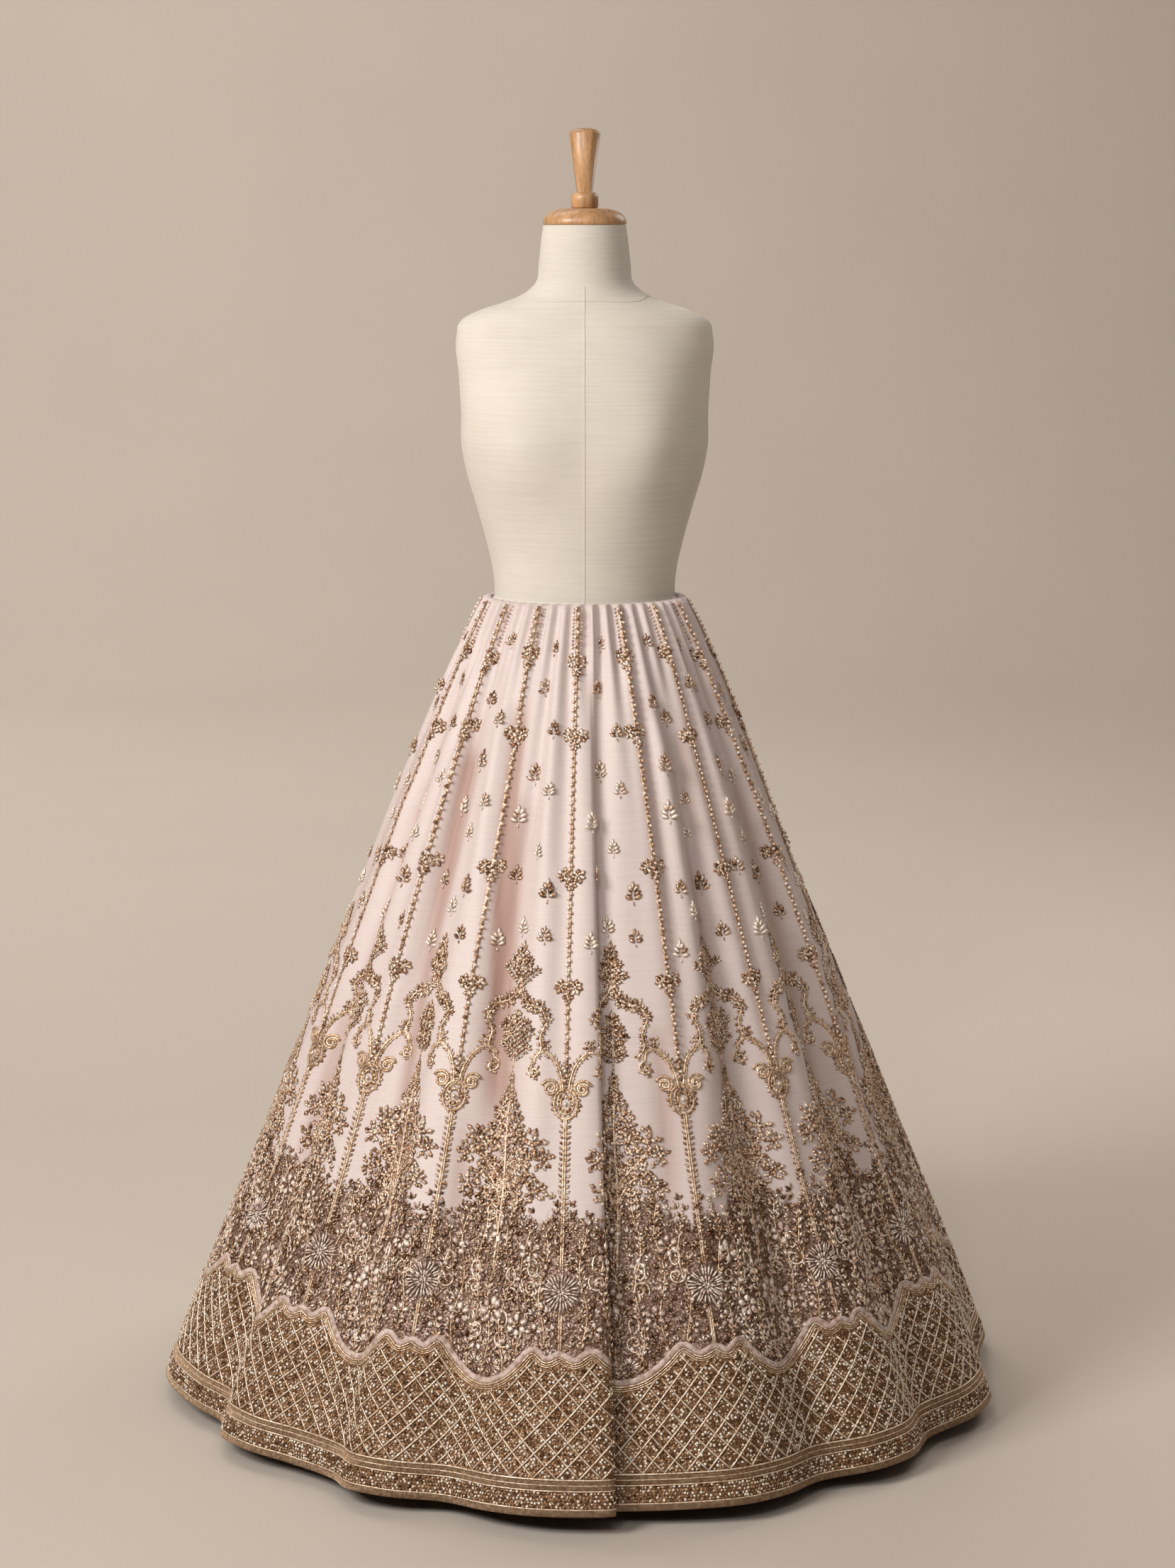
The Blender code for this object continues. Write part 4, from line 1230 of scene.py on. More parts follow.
def rosette(leaves, beads, cloth, height, radius):
    """A small round flower of petals about a ring of beads."""
    leaves.blossom(cloth, height, radius, 7, hollow=0.24, width=0.86, tone=0.50)
    leaves.blossom(cloth, height, radius * 0.56, 5, hollow=0.10, width=0.80, tone=0.85, turn=0.4)
    beads.lay(cloth, height, 0.0, radius * 0.42, radius * 0.42, radius * 0.40, lift=0.0008, tone=0.95)


class LEHENGA_OT_rosettes(bpy.types.Operator):
    """Sews pairs of rosettes on the seams, with a smaller one under each pair"""

    bl_idname = "lehenga.rosettes"
    bl_label = "Seam rosettes"

    def execute(self, context):
        leaves, beads = Stitches(), Stitches()
        for height in ROSETTE_HEIGHTS:
            shifts = 0.006 * np.sin(2.3 * SEAMS + 40 * height)
            for across, up, radius in ROSETTE_TREFOIL:
                rosette(leaves, beads, *beside(SEAMS, height + shifts, across, up), radius)
        sew(leaves.build("rosette_petals", LEAF, seed=5), "gold thread")
        sew(beads.build("rosette_beads", BEAD, seed=6), "gold beads")
        return {"FINISHED"}


class LEHENGA_OT_sprigs(bpy.types.Operator):
    """Scatters small leafy sprigs over the open silk"""

    bl_idname = "lehenga.sprigs"
    bl_label = "Sprigs"

    def execute(self, context):
        gold, silver, beads = Stitches(), Stitches(), Stitches()
        for number, row in enumerate(SPRIGS):
            leaves = silver if row.tone > 0.8 else gold
            share = row.share + 0.05 * np.sin(1.7 * SEAMS + number)
            height = row.height + 0.010 * np.sin(2.9 * SEAMS + 2 * number)
            cloth, leaf, tone = SEAMS + share, row.tall * 0.48, row.tone
            for up, spread in ((0.10, 1.15), (0.30, 0.85), (0.50, 0.55)):
                for side in (-1, 1):
                    place = beside(cloth, height, side * 0.0006, row.tall * up)
                    length = leaf * (1.15 - 0.4 * up)
                    leaves.lay(*place, side * spread, length, leaf * 0.58, leaf * 0.28, tone=tone)
            tip, middle = (beside(cloth, height, 0.0, row.tall * share) for share in (0.60, 0.30))
            leaves.lay(*tip, 0.0, leaf * 1.1, leaf * 0.42, leaf * 0.26, tone=tone)
            leaves.lay(cloth, height, math.pi, row.tall * 0.26, 0.0022, 0.0016, tone=tone)
            beads.lay(*middle, 0.0, 0.0030, 0.0030, 0.0030, lift=0.0008, tone=0.95)
        sew(gold.build("sprig_leaves", LEAF, seed=8), "gold thread")
        sew(silver.build("silver_sprigs", LEAF, seed=10), "champagne beads")
        sew(beads.build("sprig_beads", BEAD, seed=9), "gold beads")
        return {"FINISHED"}


class LEHENGA_OT_arches(bpy.types.Operator):
    """Couches a cusped arch in each kali, sprung from scrolled capitals on the seams"""

    bl_idname = "lehenga.arches"
    bl_label = "Arches and capitals"

    def execute(self, context):
        small, cords, beads = Stitches(), Cords(), Stitches()
        for side in (1, -1):
            branch, rise, top = (mirrored(path, side) for path in (BRANCH, ARCH_SIDE, ARCH_TOP))
            for offset, radius in ((0.0, 0.0015), (0.0028, 0.0010)):
                path = [(x + side * offset, y) for x, y in branch]
                cords.curve(SEAMS, CAPITAL_HEIGHT, path, radius=radius, tone=0.55)
            small.spray(SEAMS, CAPITAL_HEIGHT, branch[:4], 0.0070, 0.0048, spread=0.9, taper=0.9)
            curl = spiral((side * 0.0400, 0.0400), 0.0092, 1.25, math.pi / 2, hand=-side)
            cords.curve(SEAMS, CAPITAL_HEIGHT, curl, spacing=0.003, radius=0.0014, tone=0.62)
            small.fan(SEAMS, CAPITAL_HEIGHT, side * 0.0400, 0.0390, 0.0100, tone=0.55)
            small.fan(SEAMS, CAPITAL_HEIGHT, side * 0.0265, 0.0715, 0.0085, tone=0.55)
            cords.curve(MIDDLES, ARCH_SPRING, rise, radius=0.0015, tone=0.55)
            looks = {"spindle": 0.16, "tone": 0.56}
            small.plume(MIDDLES, ARCH_SPRING, rise, 0.0052, leaf=0.0058, **looks)
            small.plume(MIDDLES, ARCH_SPRING, top, 0.0108, leaf=0.0084, spacing=0.0066, **looks)
            cords.curve(MIDDLES, ARCH_SPRING, top, radius=0.0013, tone=0.7)
            start = 0.4 if side > 0 else math.pi - 0.4
            for reach, turns, radius, tone in VOLUTES:
                curl = spiral((side * 0.0190, 0.019), reach, turns, start, hand=side)
                cords.curve(SEAMS, CAPITAL_HEIGHT, curl, spacing=0.0028, radius=radius, tone=tone)
        for rise, width, tall, radius in CAPITAL_RINGS:
            ring = oval(width, tall, rise=rise)
            cords.curve(SEAMS, CAPITAL_HEIGHT, ring, spacing=0.0032, radius=radius, tone=0.35)
        beads.lay(SEAMS, CAPITAL_HEIGHT, 0.0, 0.0075, 0.0060, 0.0038, lift=0.0005, tone=0.8)
        small.blossom(SEAMS, CAPITAL_HEIGHT, 0.0200, 16, hollow=0.66, width=0.8, tone=0.50)
        small.blossom(SEAMS, CAPITAL_HEIGHT, 0.0130, 12, hollow=0.40, width=0.8, tone=0.55)
        small.plume(SEAMS, CAPITAL_HEIGHT, straight_up(0.022, 0.034, 0.046), 0.0080, leaf=0.0062, tone=0.45)
        for chosen, wide, medal in ((MIDDLES[::2], 0.0235, 0.0220), (MIDDLES[1::2], 0.0320, 0.0325)):
            small.plume(chosen, ARCH_SPRING, FINIAL, wide, leaf=0.0088, spacing=0.0062, tone=0.55)
            medallion = {"leaf": 0.0086, "spacing": 0.0062, "spindle": 0.34, "tone": 0.55}
            small.plume(chosen, ARCH_SPRING, MEDALLION, medal, **medallion)
            for up in MEDALLION_LEAVES + FINIAL_LEAVES:
                turn = 0.5 * math.sin(1000 * up)
                small.lay(*beside(chosen, ARCH_SPRING, 0.0, up), turn, 0.0092, 0.0054, 0.0026, tone=0.65)
        cords.curve(MIDDLES[::2], ARCH_SPRING, straight_up(0.046, 0.066, 0.086), radius=0.0013, tone=0.9)
        cords.curve(MIDDLES, ARCH_SPRING, straight_up(0.026, 0.036, 0.046), radius=0.0012, tone=0.55)
        sew(small.build("arch_small_leaves", SMALL_LEAF, seed=12), "gold thread")
        sew(cords.build("arch_cords"), "pale cord")
        sew(beads.build("capital_stones", BEAD, seed=13), "gold beads")
        return {"FINISHED"}


class LEHENGA_OT_trees(bpy.types.Operator):
    """Embroiders a flowering tree in each kali and a leafy stem down each seam"""

    bl_idname = "lehenga.trees"
    bl_label = "Trees and seam stems"

    def execute(self, context):
        leaves, cords = Stitches(), Cords()
        cords.curve(MIDDLES, TREE_HEIGHT, TRUNK, spacing=0.006, radius=0.0018, tone=0.6)
        for across, up, radius in TREE_SPIRE:
            for side in (-1, 1) if across else (1,):
                leaves.fan(MIDDLES, TREE_HEIGHT, side * across, up, radius, tone=0.56, turn=side * up * 50)
        leaves.plume(MIDDLES, TREE_HEIGHT, TREE_TIP, 0.0070, leaf=0.0068, spacing=0.0056, tone=0.50)
        leaves.plume(MIDDLES, TREE_HEIGHT, TREE_SKIRT, 0.0170, spacing=0.0090, spindle=0.16, tone=0.56)
        for side in (1, -1):
            for bough in (LOW_BOUGH, HIGH_BOUGH):
                path = mirrored(bough, side)
                cords.curve(MIDDLES, TREE_HEIGHT, path, radius=0.0013, tone=0.62)
                leaves.plume(MIDDLES, TREE_HEIGHT, path, 0.0070, leaf=0.0062, spindle=0.16, tone=0.56)
            for across, up, radius in TREE_HEADS:
                turn = side * across * 60
                leaves.fan(MIDDLES, TREE_HEIGHT, side * across, up, radius, tone=0.56, turn=turn)
            for low, high in ((DAISY_HEIGHT + 0.026, CAPITAL_HEIGHT - 0.016), (0.194, DAISY_HEIGHT - 0.026)):
                heights = np.linspace(low, high, int((high - low) / 0.010) + 2)
                for seam in SEAMS:
                    place = beside(np.full(len(heights), seam), heights, side * 0.0012, 0.0)
                    cords.run(*place, radius=0.0013, tone=0.60)
        heights = np.arange(DAISY_HEIGHT + 0.030, CAPITAL_HEIGHT - 0.020, 0.0066)
        for side in (-1, 1):
            place = beside(SEAMS[:, None], heights, side * 0.0022, 0.0)
            leaves.lay(*place, side * 0.80, 0.0068, 0.0034, 0.0020, tone=0.42)
        sew(leaves.build("tree_leaves", SMALL_LEAF, seed=15), "gold thread")
        sew(cords.build("tree_cords"), "pale cord")
        return {"FINISHED"}


BandFlower = namedtuple("BandFlower", "share height radius petals")
BAND_FLOWERS = tuple(BandFlower(*row) for row in (
    (0.50, 0.240, 0.0190, 7), (0.22, 0.305, 0.0150, 6), (0.78, 0.310, 0.0150, 6),
    (0.30, 0.228, 0.0150, 6), (0.70, 0.224, 0.0150, 6), (0.50, 0.325, 0.0150, 6),
    (0.14, 0.216, 0.0115, 5), (0.86, 0.214, 0.0115, 5), (0.38, 0.282, 0.0115, 5),
    (0.64, 0.280, 0.0115, 5), (0.42, 0.190, 0.0120, 5), (0.60, 0.188, 0.0120, 5),
))
# Scrolls as (share, height, hand).
BAND_SCROLLS = (
    (0.18, 0.270, 1), (0.36, 0.262, -1), (0.64, 0.258, 1), (0.82, 0.272, -1),
    (0.40, 0.205, 1), (0.60, 0.200, -1), (0.42, 0.345, 1),
)
STEM_SHARES = (0.12, 0.25, 0.38, 0.50, 0.62, 0.75, 0.88)
# The band's sprigs of three leaves: the lowest and highest row, the gap between rows, the gap
# between the sprigs of a row, and the tones that they take with the share of each.
BAND_LOW, BAND_HIGH = 0.158, 0.425
BAND_ROW_GAP, BAND_SPRIG_GAP = 0.0098, 0.0108
BAND_TONES = (0.08, 0.34, 0.58, 0.92)
BAND_TONE_SHARES = (0.26, 0.26, 0.26, 0.22)
# Below this height, the larger share of the sprigs is pale.
PALE_BELOW, PALE_SHARE, PALE_SHARE_ABOVE = 0.290, 0.42, 0.12


def spread_round(count, row, off):
    """Places evenly round the skirt, half a step on in every second row, each moved off by a part."""
    return (np.arange(count) + 0.5 * (row % 2) + off) * KALI_COUNT / count


def clear_of(cloth, height, centres, reach):
    """Which places lie outside circles round the centres, given as (cloth, height, radius)."""
    free = np.ones(np.shape(cloth), bool)
    width = kali_width(np.floor(cloth), height)
    for centre_cloth, centre_height, radius in centres:
        off = np.mod(cloth - centre_cloth + KALI_COUNT / 2, KALI_COUNT) - KALI_COUNT / 2
        free &= np.hypot(off * width, height - centre_height) > radius * reach
    return free


class LEHENGA_OT_floral_band(bpy.types.Operator):
    """Fills the band above the scallops with stems, blossoms, daisies and close-set leaves"""

    bl_idname = "lehenga.floral_band"
    bl_label = "Floral band"

    def execute(self, context):
        big, fill, cords, pale, silver = Stitches(), Stitches(), Cords(), Stitches(), Stitches()
        centres = [(seam, DAISY_HEIGHT, 0.0255) for seam in SEAMS]
        for row in BAND_FLOWERS:
            for seam in SEAMS:
                wander = 0.035 * math.sin(3.1 * seam + 9 * row.share)
                height = row.height + 0.008 * math.sin(2.3 * seam + 30 * row.height)
                place, heart = (seam + row.share + wander, height), row.radius * 0.46
                centres.append((*place, row.radius))
                pale.blossom(*place, row.radius, row.petals, hollow=0.26, width=0.90, tone=0.66)
                big.blossom(*place, heart, 5, hollow=0.05, width=0.70, tone=0.35, turn=0.3)
        for hollow, radius, petals, tone, width in DAISY_RINGS:
            pale.blossom(SEAMS, DAISY_HEIGHT, radius, petals, hollow=hollow, width=width, tone=tone)
        for side in (-1, 1):
            place, turn = beside(MIDDLES, 0.168, side * 0.0125, 0.0), side * 0.25 - 1.2
            pale.blossom(*place, 0.0150, 9, hollow=0.25, width=0.28, tone=0.75, turn=turn, arc=3.4)
        for number, share in enumerate(STEM_SHARES):
            for seam in SEAMS:
                cloth = seam + share
                top = float(band_top(cloth)) - 0.012
                low = float(border_top(cloth)) + 0.010
                heights = np.arange(low, top, 0.009)
                sway = 0.0045 * np.sin(heights * 60 + number * 2 + seam)
                place = beside(np.full(len(heights), cloth), heights, sway, 0.0)
                cords.run(*place, radius=0.0011, tone=0.62)
                free = clear_of(place[0], place[1], centres, 0.9)
                for side in (-1, 1):
                    fill.lay(place[0][free], place[1][free], side * 0.62, 0.0115, 0.0044, 0.0028, tone=0.64)
        random = np.random.default_rng(21)
        for row, height in enumerate(np.arange(BAND_LOW, BAND_HIGH, BAND_ROW_GAP)):
            count = int(KALI_COUNT * kali_width(np.array(5), height) / BAND_SPRIG_GAP)
            cloth = spread_round(count, row, random.uniform(-0.28, 0.28, count))
            place = height + random.uniform(-0.0024, 0.0024, count)
            strays = 0.026 * random.random(count) ** 2
            keep = (place > border_top(cloth) + 0.007) & (place < band_top(cloth) + strays)
            keep &= clear_of(cloth, place, centres, 0.95)
            cloth, place = cloth[keep], place[keep]
            turn = 1.1 * np.sin(9 * cloth + 22 * place) + 0.7 * np.sin(23 * cloth - 60 * place)
            turn = turn + random.normal(0, 0.3, len(cloth))
            tone = random.choice(BAND_TONES, len(cloth), p=BAND_TONE_SHARES)
            light = random.random(len(cloth)) < np.where(place < PALE_BELOW, PALE_SHARE, PALE_SHARE_ABOVE)
            for angle, length in ((-0.78, 0.0082), (0.0, 0.0100), (0.78, 0.0082)):
                for kind, chosen in ((silver, light), (fill, ~light)):
                    laid = cloth[chosen], place[chosen], (turn + angle)[chosen]
                    kind.lay(*laid, length, length * 0.42, length * 0.26, tone=tone[chosen])
        for seam in SEAMS:
            for share, height, hand in BAND_SCROLLS:
                cloth = seam + share + 0.02 * math.sin(seam * 2.7 + share * 9)
                place = (cloth, height + 0.005 * math.sin(seam * 1.9 + height * 50))
                curl = spiral((0.0, 0.0), 0.0115, 1.3, 1.2 + share * 7, hand=hand, points=14)
                cords.curve(*place, curl, radius=0.0013, tone=0.85)
                bud = oval(0.0060, 0.0105, points=12, rise=0.022)
                cords.curve(*place, bud, spacing=0.0050, radius=0.0012, tone=0.95)
        sew(silver.build("band_silver_leaves", SMALL_LEAF, seed=25), "pale thread")
        sew(big.build("band_blossoms", LEAF, seed=22), "gold thread")
        sew(fill.build("band_leaves", SMALL_LEAF, seed=23), "gold thread")
        sew(cords.build("band_stems", 4), "pale cord")
        sew(pale.build("band_daisies", LEAF, seed=24), "pale thread")
        return {"FINISHED"}


def along_scallops(offset, per_kali=40):
    """Places along the scalloped edge, moved up the cloth, square to the edge, by an offset."""
    cloth = np.arange(KALI_COUNT * per_kali) / per_kali
    height = border_top(cloth)
    width = kali_width(np.floor(cloth), height)
    across = np.gradient(cloth) * width
    rise = (np.roll(height, -1) - np.roll(height, 1)) / 2
    length = np.hypot(across, rise)
    return cloth - offset * rise / length / width, height + offset * across / length


class LEHENGA_OT_scallops(bpy.types.Operator):
    """Lays the padded pink roll and the gold cords along the scalloped edge"""

    bl_idname = "lehenga.scallops"
    bl_label = "Scalloped edge"

    def execute(self, context):
        roll, cords = Cords(), Cords()
        roll.run(*along_scallops(0.0036), radius=0.0039, flat=0.46, lift=0.0, tone=0.5, closed=True)
        obj = roll.build("scallop_roll", 8)
        finish_piece(obj, roll_material(), "pink_silk")
        for inside, radius, tone in ((0.0014, 0.0012, 0.62), (0.0042, 0.0012, 0.40), (0.0066, 0.0009, 0.55)):
            cords.run(*along_scallops(-inside), radius=radius, lift=BORDER_FACE, tone=tone, closed=True)
        sew(cords.build("scallop_cords", 4), "pale cord")
        return {"FINISHED"}


def trellis_cloth(count):
    """The cloth at a count of diamonds round the hem from the first seam."""
    counts = np.full(KALI_COUNT, TRELLIS_PER_KALI)
    counts[fold_kali()[0]] = TRELLIS_IN_FOLD_KALI
    ends = np.concatenate([[0], np.cumsum(counts)])
    whole = np.floor_divide(count, ends[-1])
    return np.interp(count - whole * ends[-1], ends, np.arange(KALI_COUNT + 1)) + whole * KALI_COUNT


TRELLIS_AROUND = TRELLIS_PER_KALI * (KALI_COUNT - 1) + TRELLIS_IN_FOLD_KALI
TRELLIS_ROWS = 5.2
SEQUIN_SHARE = 0.52


class LEHENGA_OT_trellis(bpy.types.Operator):
    """Couches the diamond trellis on the border"""

    bl_idname = "lehenga.trellis"
    bl_label = "Diamond trellis"

    def execute(self, context):
        cords, knots = Cords(), Stitches()
        looks = {"radius": 0.0013, "flat": 1.0, "lift": BORDER_FACE, "tone": 0.85}
        rise = np.arange(0, TRELLIS_ROWS, 0.2)
        for start in range(TRELLIS_AROUND):
            for side in (-1, 1):
                cloth = trellis_cloth(start + side * rise)
                height = TRELLIS_LOW + rise * TRELLIS_PITCH
                inside = height < border_top(cloth) - 0.0075
                edges = np.flatnonzero(np.diff(np.concatenate([[0], inside.astype(int), [0]])))
                for first, last in zip(edges[::2], edges[1::2]):
                    if last - first > 2:
                        cords.run(cloth[first:last], height[first:last], **looks)
        for row in np.arange(1, TRELLIS_ROWS * 2):
            counts = np.arange(TRELLIS_AROUND) + 0.5 * (row % 2)
            cloth = trellis_cloth(counts)
            height = np.full(len(cloth), TRELLIS_LOW + row * TRELLIS_PITCH / 2)
            keep = height < border_top(cloth) - 0.009
            knot = {"length": 0.0034, "width": 0.0034, "rise": 0.0026, "lift": SEQUIN_LIFT}
            knots.lay(cloth[keep], height[keep], **knot, tone=0.85)
        sew(cords.build("trellis_cords", 3), "pale cord")
        sew(knots.build("trellis_knots", BEAD, seed=31), "gold beads")
        return {"FINISHED"}


class LEHENGA_OT_sequins(bpy.types.Operator):
    """Fills the diamonds of the trellis with sequins and small beads"""

    bl_idname = "lehenga.sequins"
    bl_label = "Sequins"

    def execute(self, context):
        size = settings_of(context, "skirt").sequin
        random = np.random.default_rng(33)
        steps = np.array([0.19, 0.40, 0.61, 0.82])
        first = (np.arange(TRELLIS_AROUND + 12)[:, None] + steps).ravel()
        second = (np.arange(-12, TRELLIS_AROUND)[:, None] + steps).ravel()
        rising, falling = np.meshgrid(first, second, indexing="ij")
        around, rise = (rising + falling) / 2, (rising - falling) / 2
        keep = (rise > 0.05) & (rise < TRELLIS_ROWS + 0.4) & (around >= 0) & (around < TRELLIS_AROUND)
        around = around[keep] + random.uniform(-0.05, 0.05, keep.sum())
        rise = rise[keep] + random.uniform(-0.05, 0.05, keep.sum())
        cloth = trellis_cloth(around)
        height = TRELLIS_LOW + rise * TRELLIS_PITCH
        keep = (height < border_top(cloth) - 0.0095) & (rise > 0.04)
        cloth, height = cloth[keep], height[keep]
        pick = random.random(len(cloth))
        sequins, beads = Stitches(), Stitches()
        chosen = pick < SEQUIN_SHARE
        # The lightest third are silver sequins whose colour also carries painted glints.
        tone = random.choice((0.10, 0.45, 1.0), chosen.sum(), p=(0.34, 0.32, 0.34))
        across = size * np.where(tone > 0.8, 1.16, 0.90)
        lift = SEQUIN_LIFT + 0.0001
        sequins.lay(cloth[chosen], height[chosen], 0.0, across, across, 0.0006, lift=lift, tone=tone)
        chosen = ~chosen
        turn = random.uniform(-1.6, 1.6, chosen.sum())
        tone = random.choice((0.1, 0.5, 0.9), chosen.sum())
        beads.lay(cloth[chosen], height[chosen], turn, 0.0044, 0.0023, 0.0020, lift=BORDER_FACE, tone=tone)
        sew(sequins.build("border_sequins", SEQUIN, tilt=0.24, seed=34), "sequins")
        sew(beads.build("border_beads", BEAD, seed=35), "gold beads")
        return {"FINISHED"}


# Braids as (name, top, low, rows, lift, thickness) and cords as (height, radius, tone).
HEM_BRAIDS = (
    ("hem_braid", TRELLIS_LOW - 0.0015, HEM_BEADS_TOP, 5, 0.0011, 0.0010),
    ("hem_edge", HEM_EDGE_TOP, 0.0, 4, 0.0013, 0.0012),
)
HEM_BEAD_ROWS, HEM_BEADS_IN_ROW = 5, 860
HEM_CORDS = (
    (TRELLIS_LOW - 0.001, 0.0012, 0.75), (0.0365, 0.0008, 0.6),
    (HEM_BEADS_TOP, 0.0010, 0.7), (HEM_EDGE_TOP, 0.0010, 0.7),
)


class LEHENGA_OT_hem_trim(bpy.types.Operator):
    """Sews the braid, the beaded row and the edge cord round the hem"""

    bl_idname = "lehenga.hem_trim"
    bl_label = "Hem trim"

    def execute(self, context):
        columns, gold = cloth_columns(24, 26), braid_material()
        for name, top, low, count, lift, thickness in HEM_BRAIDS:
            _, heights = np.meshgrid(columns, np.linspace(top, low, count))
            finish_piece(cloth_wall(name, columns, heights, BORDER_FACE + lift, thickness), gold, "gold_work")
        cords, lift = Cords(), BORDER_FACE + 0.0009
        for height, radius, tone in HEM_CORDS:
            heights = np.full(len(columns), height)
            cords.run(columns, heights, radius=radius, lift=lift, tone=tone, closed=True)
        sew(cords.build("hem_cords", 4), "pale cord")
        random = np.random.default_rng(41)
        beads, sequins = Stitches(), Stitches()
        heights = np.linspace(HEM_EDGE_TOP + 0.0028, HEM_BEADS_TOP - 0.0028, HEM_BEAD_ROWS)
        count = HEM_BEADS_IN_ROW
        for row, height in enumerate(heights):
            cloth = spread_round(count, row, random.uniform(-0.25, 0.25, count))
            place = height + random.uniform(-0.0008, 0.0008, count)
            chosen = random.random(count) < 0.42
            # The light ones are silver sequins whose colour also carries painted glints.
            tone = random.choice((0.3, 1.0), chosen.sum(), p=(0.35, 0.65))
            sequin = {"length": 0.0040, "width": 0.0040, "rise": 0.0006, "lift": SEQUIN_LIFT}
            sequins.lay(cloth[chosen], place[chosen], **sequin, tone=tone)
            turn = random.uniform(-1.6, 1.6, (~chosen).sum())
            bead = {"length": 0.0044, "width": 0.0026, "rise": 0.0023, "lift": BORDER_FACE}
            beads.lay(cloth[~chosen], place[~chosen], turn, **bead, tone=0.45)
        sew(beads.build("hem_beads", BEAD, seed=42), "gold beads")
        sew(sequins.build("hem_sequins", SEQUIN, tilt=0.24, seed=43), "sequins")
        return {"FINISHED"}


def form_point(angle, height, out=0.0):
    """Points on the dress form. angle runs from the front towards +X."""
    knots = [-level.height for level in FORM_LEVELS]
    half_width, front, back, bust = (
        smooth_curve(knots, [getattr(level, column) for level in FORM_LEVELS], -height)
        for column in ("half_width", "front", "back", "bust")
    )
    turned = np.mod(angle, math.tau)
    from_front = np.minimum(turned, math.tau - turned)
    mound = np.exp(-(((from_front - BUST_CENTRE) / BUST_SPREAD) ** 2))
    facing = ease(-0.35, 0.35, np.cos(angle))
    depth = back + (front - back) * facing
    side, ahead = np.sin(angle), np.cos(angle)
    normal = unit(np.stack([side / half_width, -ahead / depth], axis=-1))
    x = half_width * side + out * normal[..., 0]
    y = -(depth + bust * mound * facing) * ahead + out * normal[..., 1]
    return np.stack([x, y, np.broadcast_to(height, x.shape)], axis=-1)


def tube(name, path, radius, sides=6, closed=False):
    """A thin round piece along points in space."""
    ahead = unit(heading_along(path, closed))
    out = unit(path * np.array([1.0, 1.0, 0.0]))
    side = unit(np.cross(ahead, out))
    out = np.cross(side, ahead)
    ring = np.arange(sides) * math.tau / sides
    loop = path[:, None, :] + radius * (
        np.cos(ring)[None, :, None] * side[:, None, :] + np.sin(ring)[None, :, None] * out[:, None, :]
    )
    faces = np.stack(quads(len(path), sides, closed), axis=1)
    return mesh_from(name, loop.reshape(-1, 3), faces[:, ::-1])


class LEHENGA_OT_form(bpy.types.Operator):
    """Covers the dress form in linen, with its centre, side and neck seams"""

    bl_idname = "lehenga.form"
    bl_label = "Dress form"

    def execute(self, context):
        linen = linen_material(settings_of(context, "form"))
        top, bottom = FORM_LEVELS[0].height, FORM_LEVELS[-1].height
        marks = -np.array([level.height for level in FORM_LEVELS])
        rows = -np.interp(np.linspace(0, len(marks) - 1, FORM_ROWS), np.arange(len(marks)), marks)
        angles = np.arange(FORM_COLUMNS) * math.tau / FORM_COLUMNS
        points = form_point(angles[None, :], rows[:, None]).reshape(-1, 3)
        sides = np.stack(quads(FORM_ROWS, FORM_COLUMNS), axis=1)
        count = len(points)
        points = np.concatenate([points, [[0, 0, top], [0, 0, bottom]]])
        column = np.arange(FORM_COLUMNS)
        right = (column + 1) % FORM_COLUMNS
        last = (FORM_ROWS - 1) * FORM_COLUMNS
        neck_end = np.stack([column, right, np.full_like(column, count)], axis=1)
        hip_end = np.stack([last + right, last + column, np.full_like(column, count + 1)], axis=1)
        faces = np.concatenate([sides[:, [0, 1, 2]], sides[:, [0, 2, 3]], neck_end, hip_end])
        cover = mesh_from("dress_form_cover", points, faces)
        finish_piece(cover, linen, "form_linen", "dress_form")
        bpy.context.view_layer.objects.active = cover
        clear_selection()
        cover.select_set(True)
        bpy.ops.object.shade_smooth_by_angle(angle=math.radians(45))
        clear_selection()
        heights = np.linspace(FORM_SEAM_TOP, FORM_SEAM_LOW, 90)
        for name, degrees in (("centre_front", 0), ("centre_back", 180), ("left", 90), ("right", -90)):
            path = form_point(np.full(len(heights), math.radians(degrees)), heights, 0.0001)
            finish_piece(tube(f"form_seam_{name}", path, 0.00055), linen, "form_linen")
        angles = np.linspace(0, math.tau, 97)[:-1]
        heights = 1.4235 + 0.0045 * np.cos(2 * angles) - 0.014 * ease(0.2, 1.0, np.cos(angles))
        neck = form_point(angles, heights, 0.0001)
        finish_piece(tube("form_seam_neck", neck, 0.00060, closed=True), linen, "form_linen")
        return {"FINISHED"}


def smooth_copy(node, name):
    """A merged copy of a CAD node's mesh, shaded smooth, to stand in its place."""
    clear_selection()
    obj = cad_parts[node]
    copy = bpy.data.objects.new(name, obj.data.copy())
    copy.data.materials.clear()
    bpy.context.scene.collection.objects.link(copy)
    bpy.context.view_layer.objects.active = copy
    copy.select_set(True)
    bpy.ops.object.mode_set(mode="EDIT")
    bpy.ops.mesh.select_all(action="SELECT")
    bpy.ops.mesh.remove_doubles(threshold=0.00005)
    bpy.ops.object.mode_set(mode="OBJECT")
    bpy.ops.object.shade_smooth_by_angle(angle=math.radians(35))
    clear_selection()
    return copy


class LEHENGA_OT_wood(bpy.types.Operator):
    """Turns the wooden cap, its handle, the pole and the base"""

    bl_idname = "lehenga.wood"
    bl_label = "Turned wood"

    def execute(self, context):
        wood = wood_material(settings_of(context, "form"))
        for node in ("neck_cap", "cap_handle", "stand_pole", "stand_base"):
            name = "turned_" + node.split("_")[1]
            finish_piece(smooth_copy(node, name), wood, "turned_wood", node)
        return {"FINISHED"}


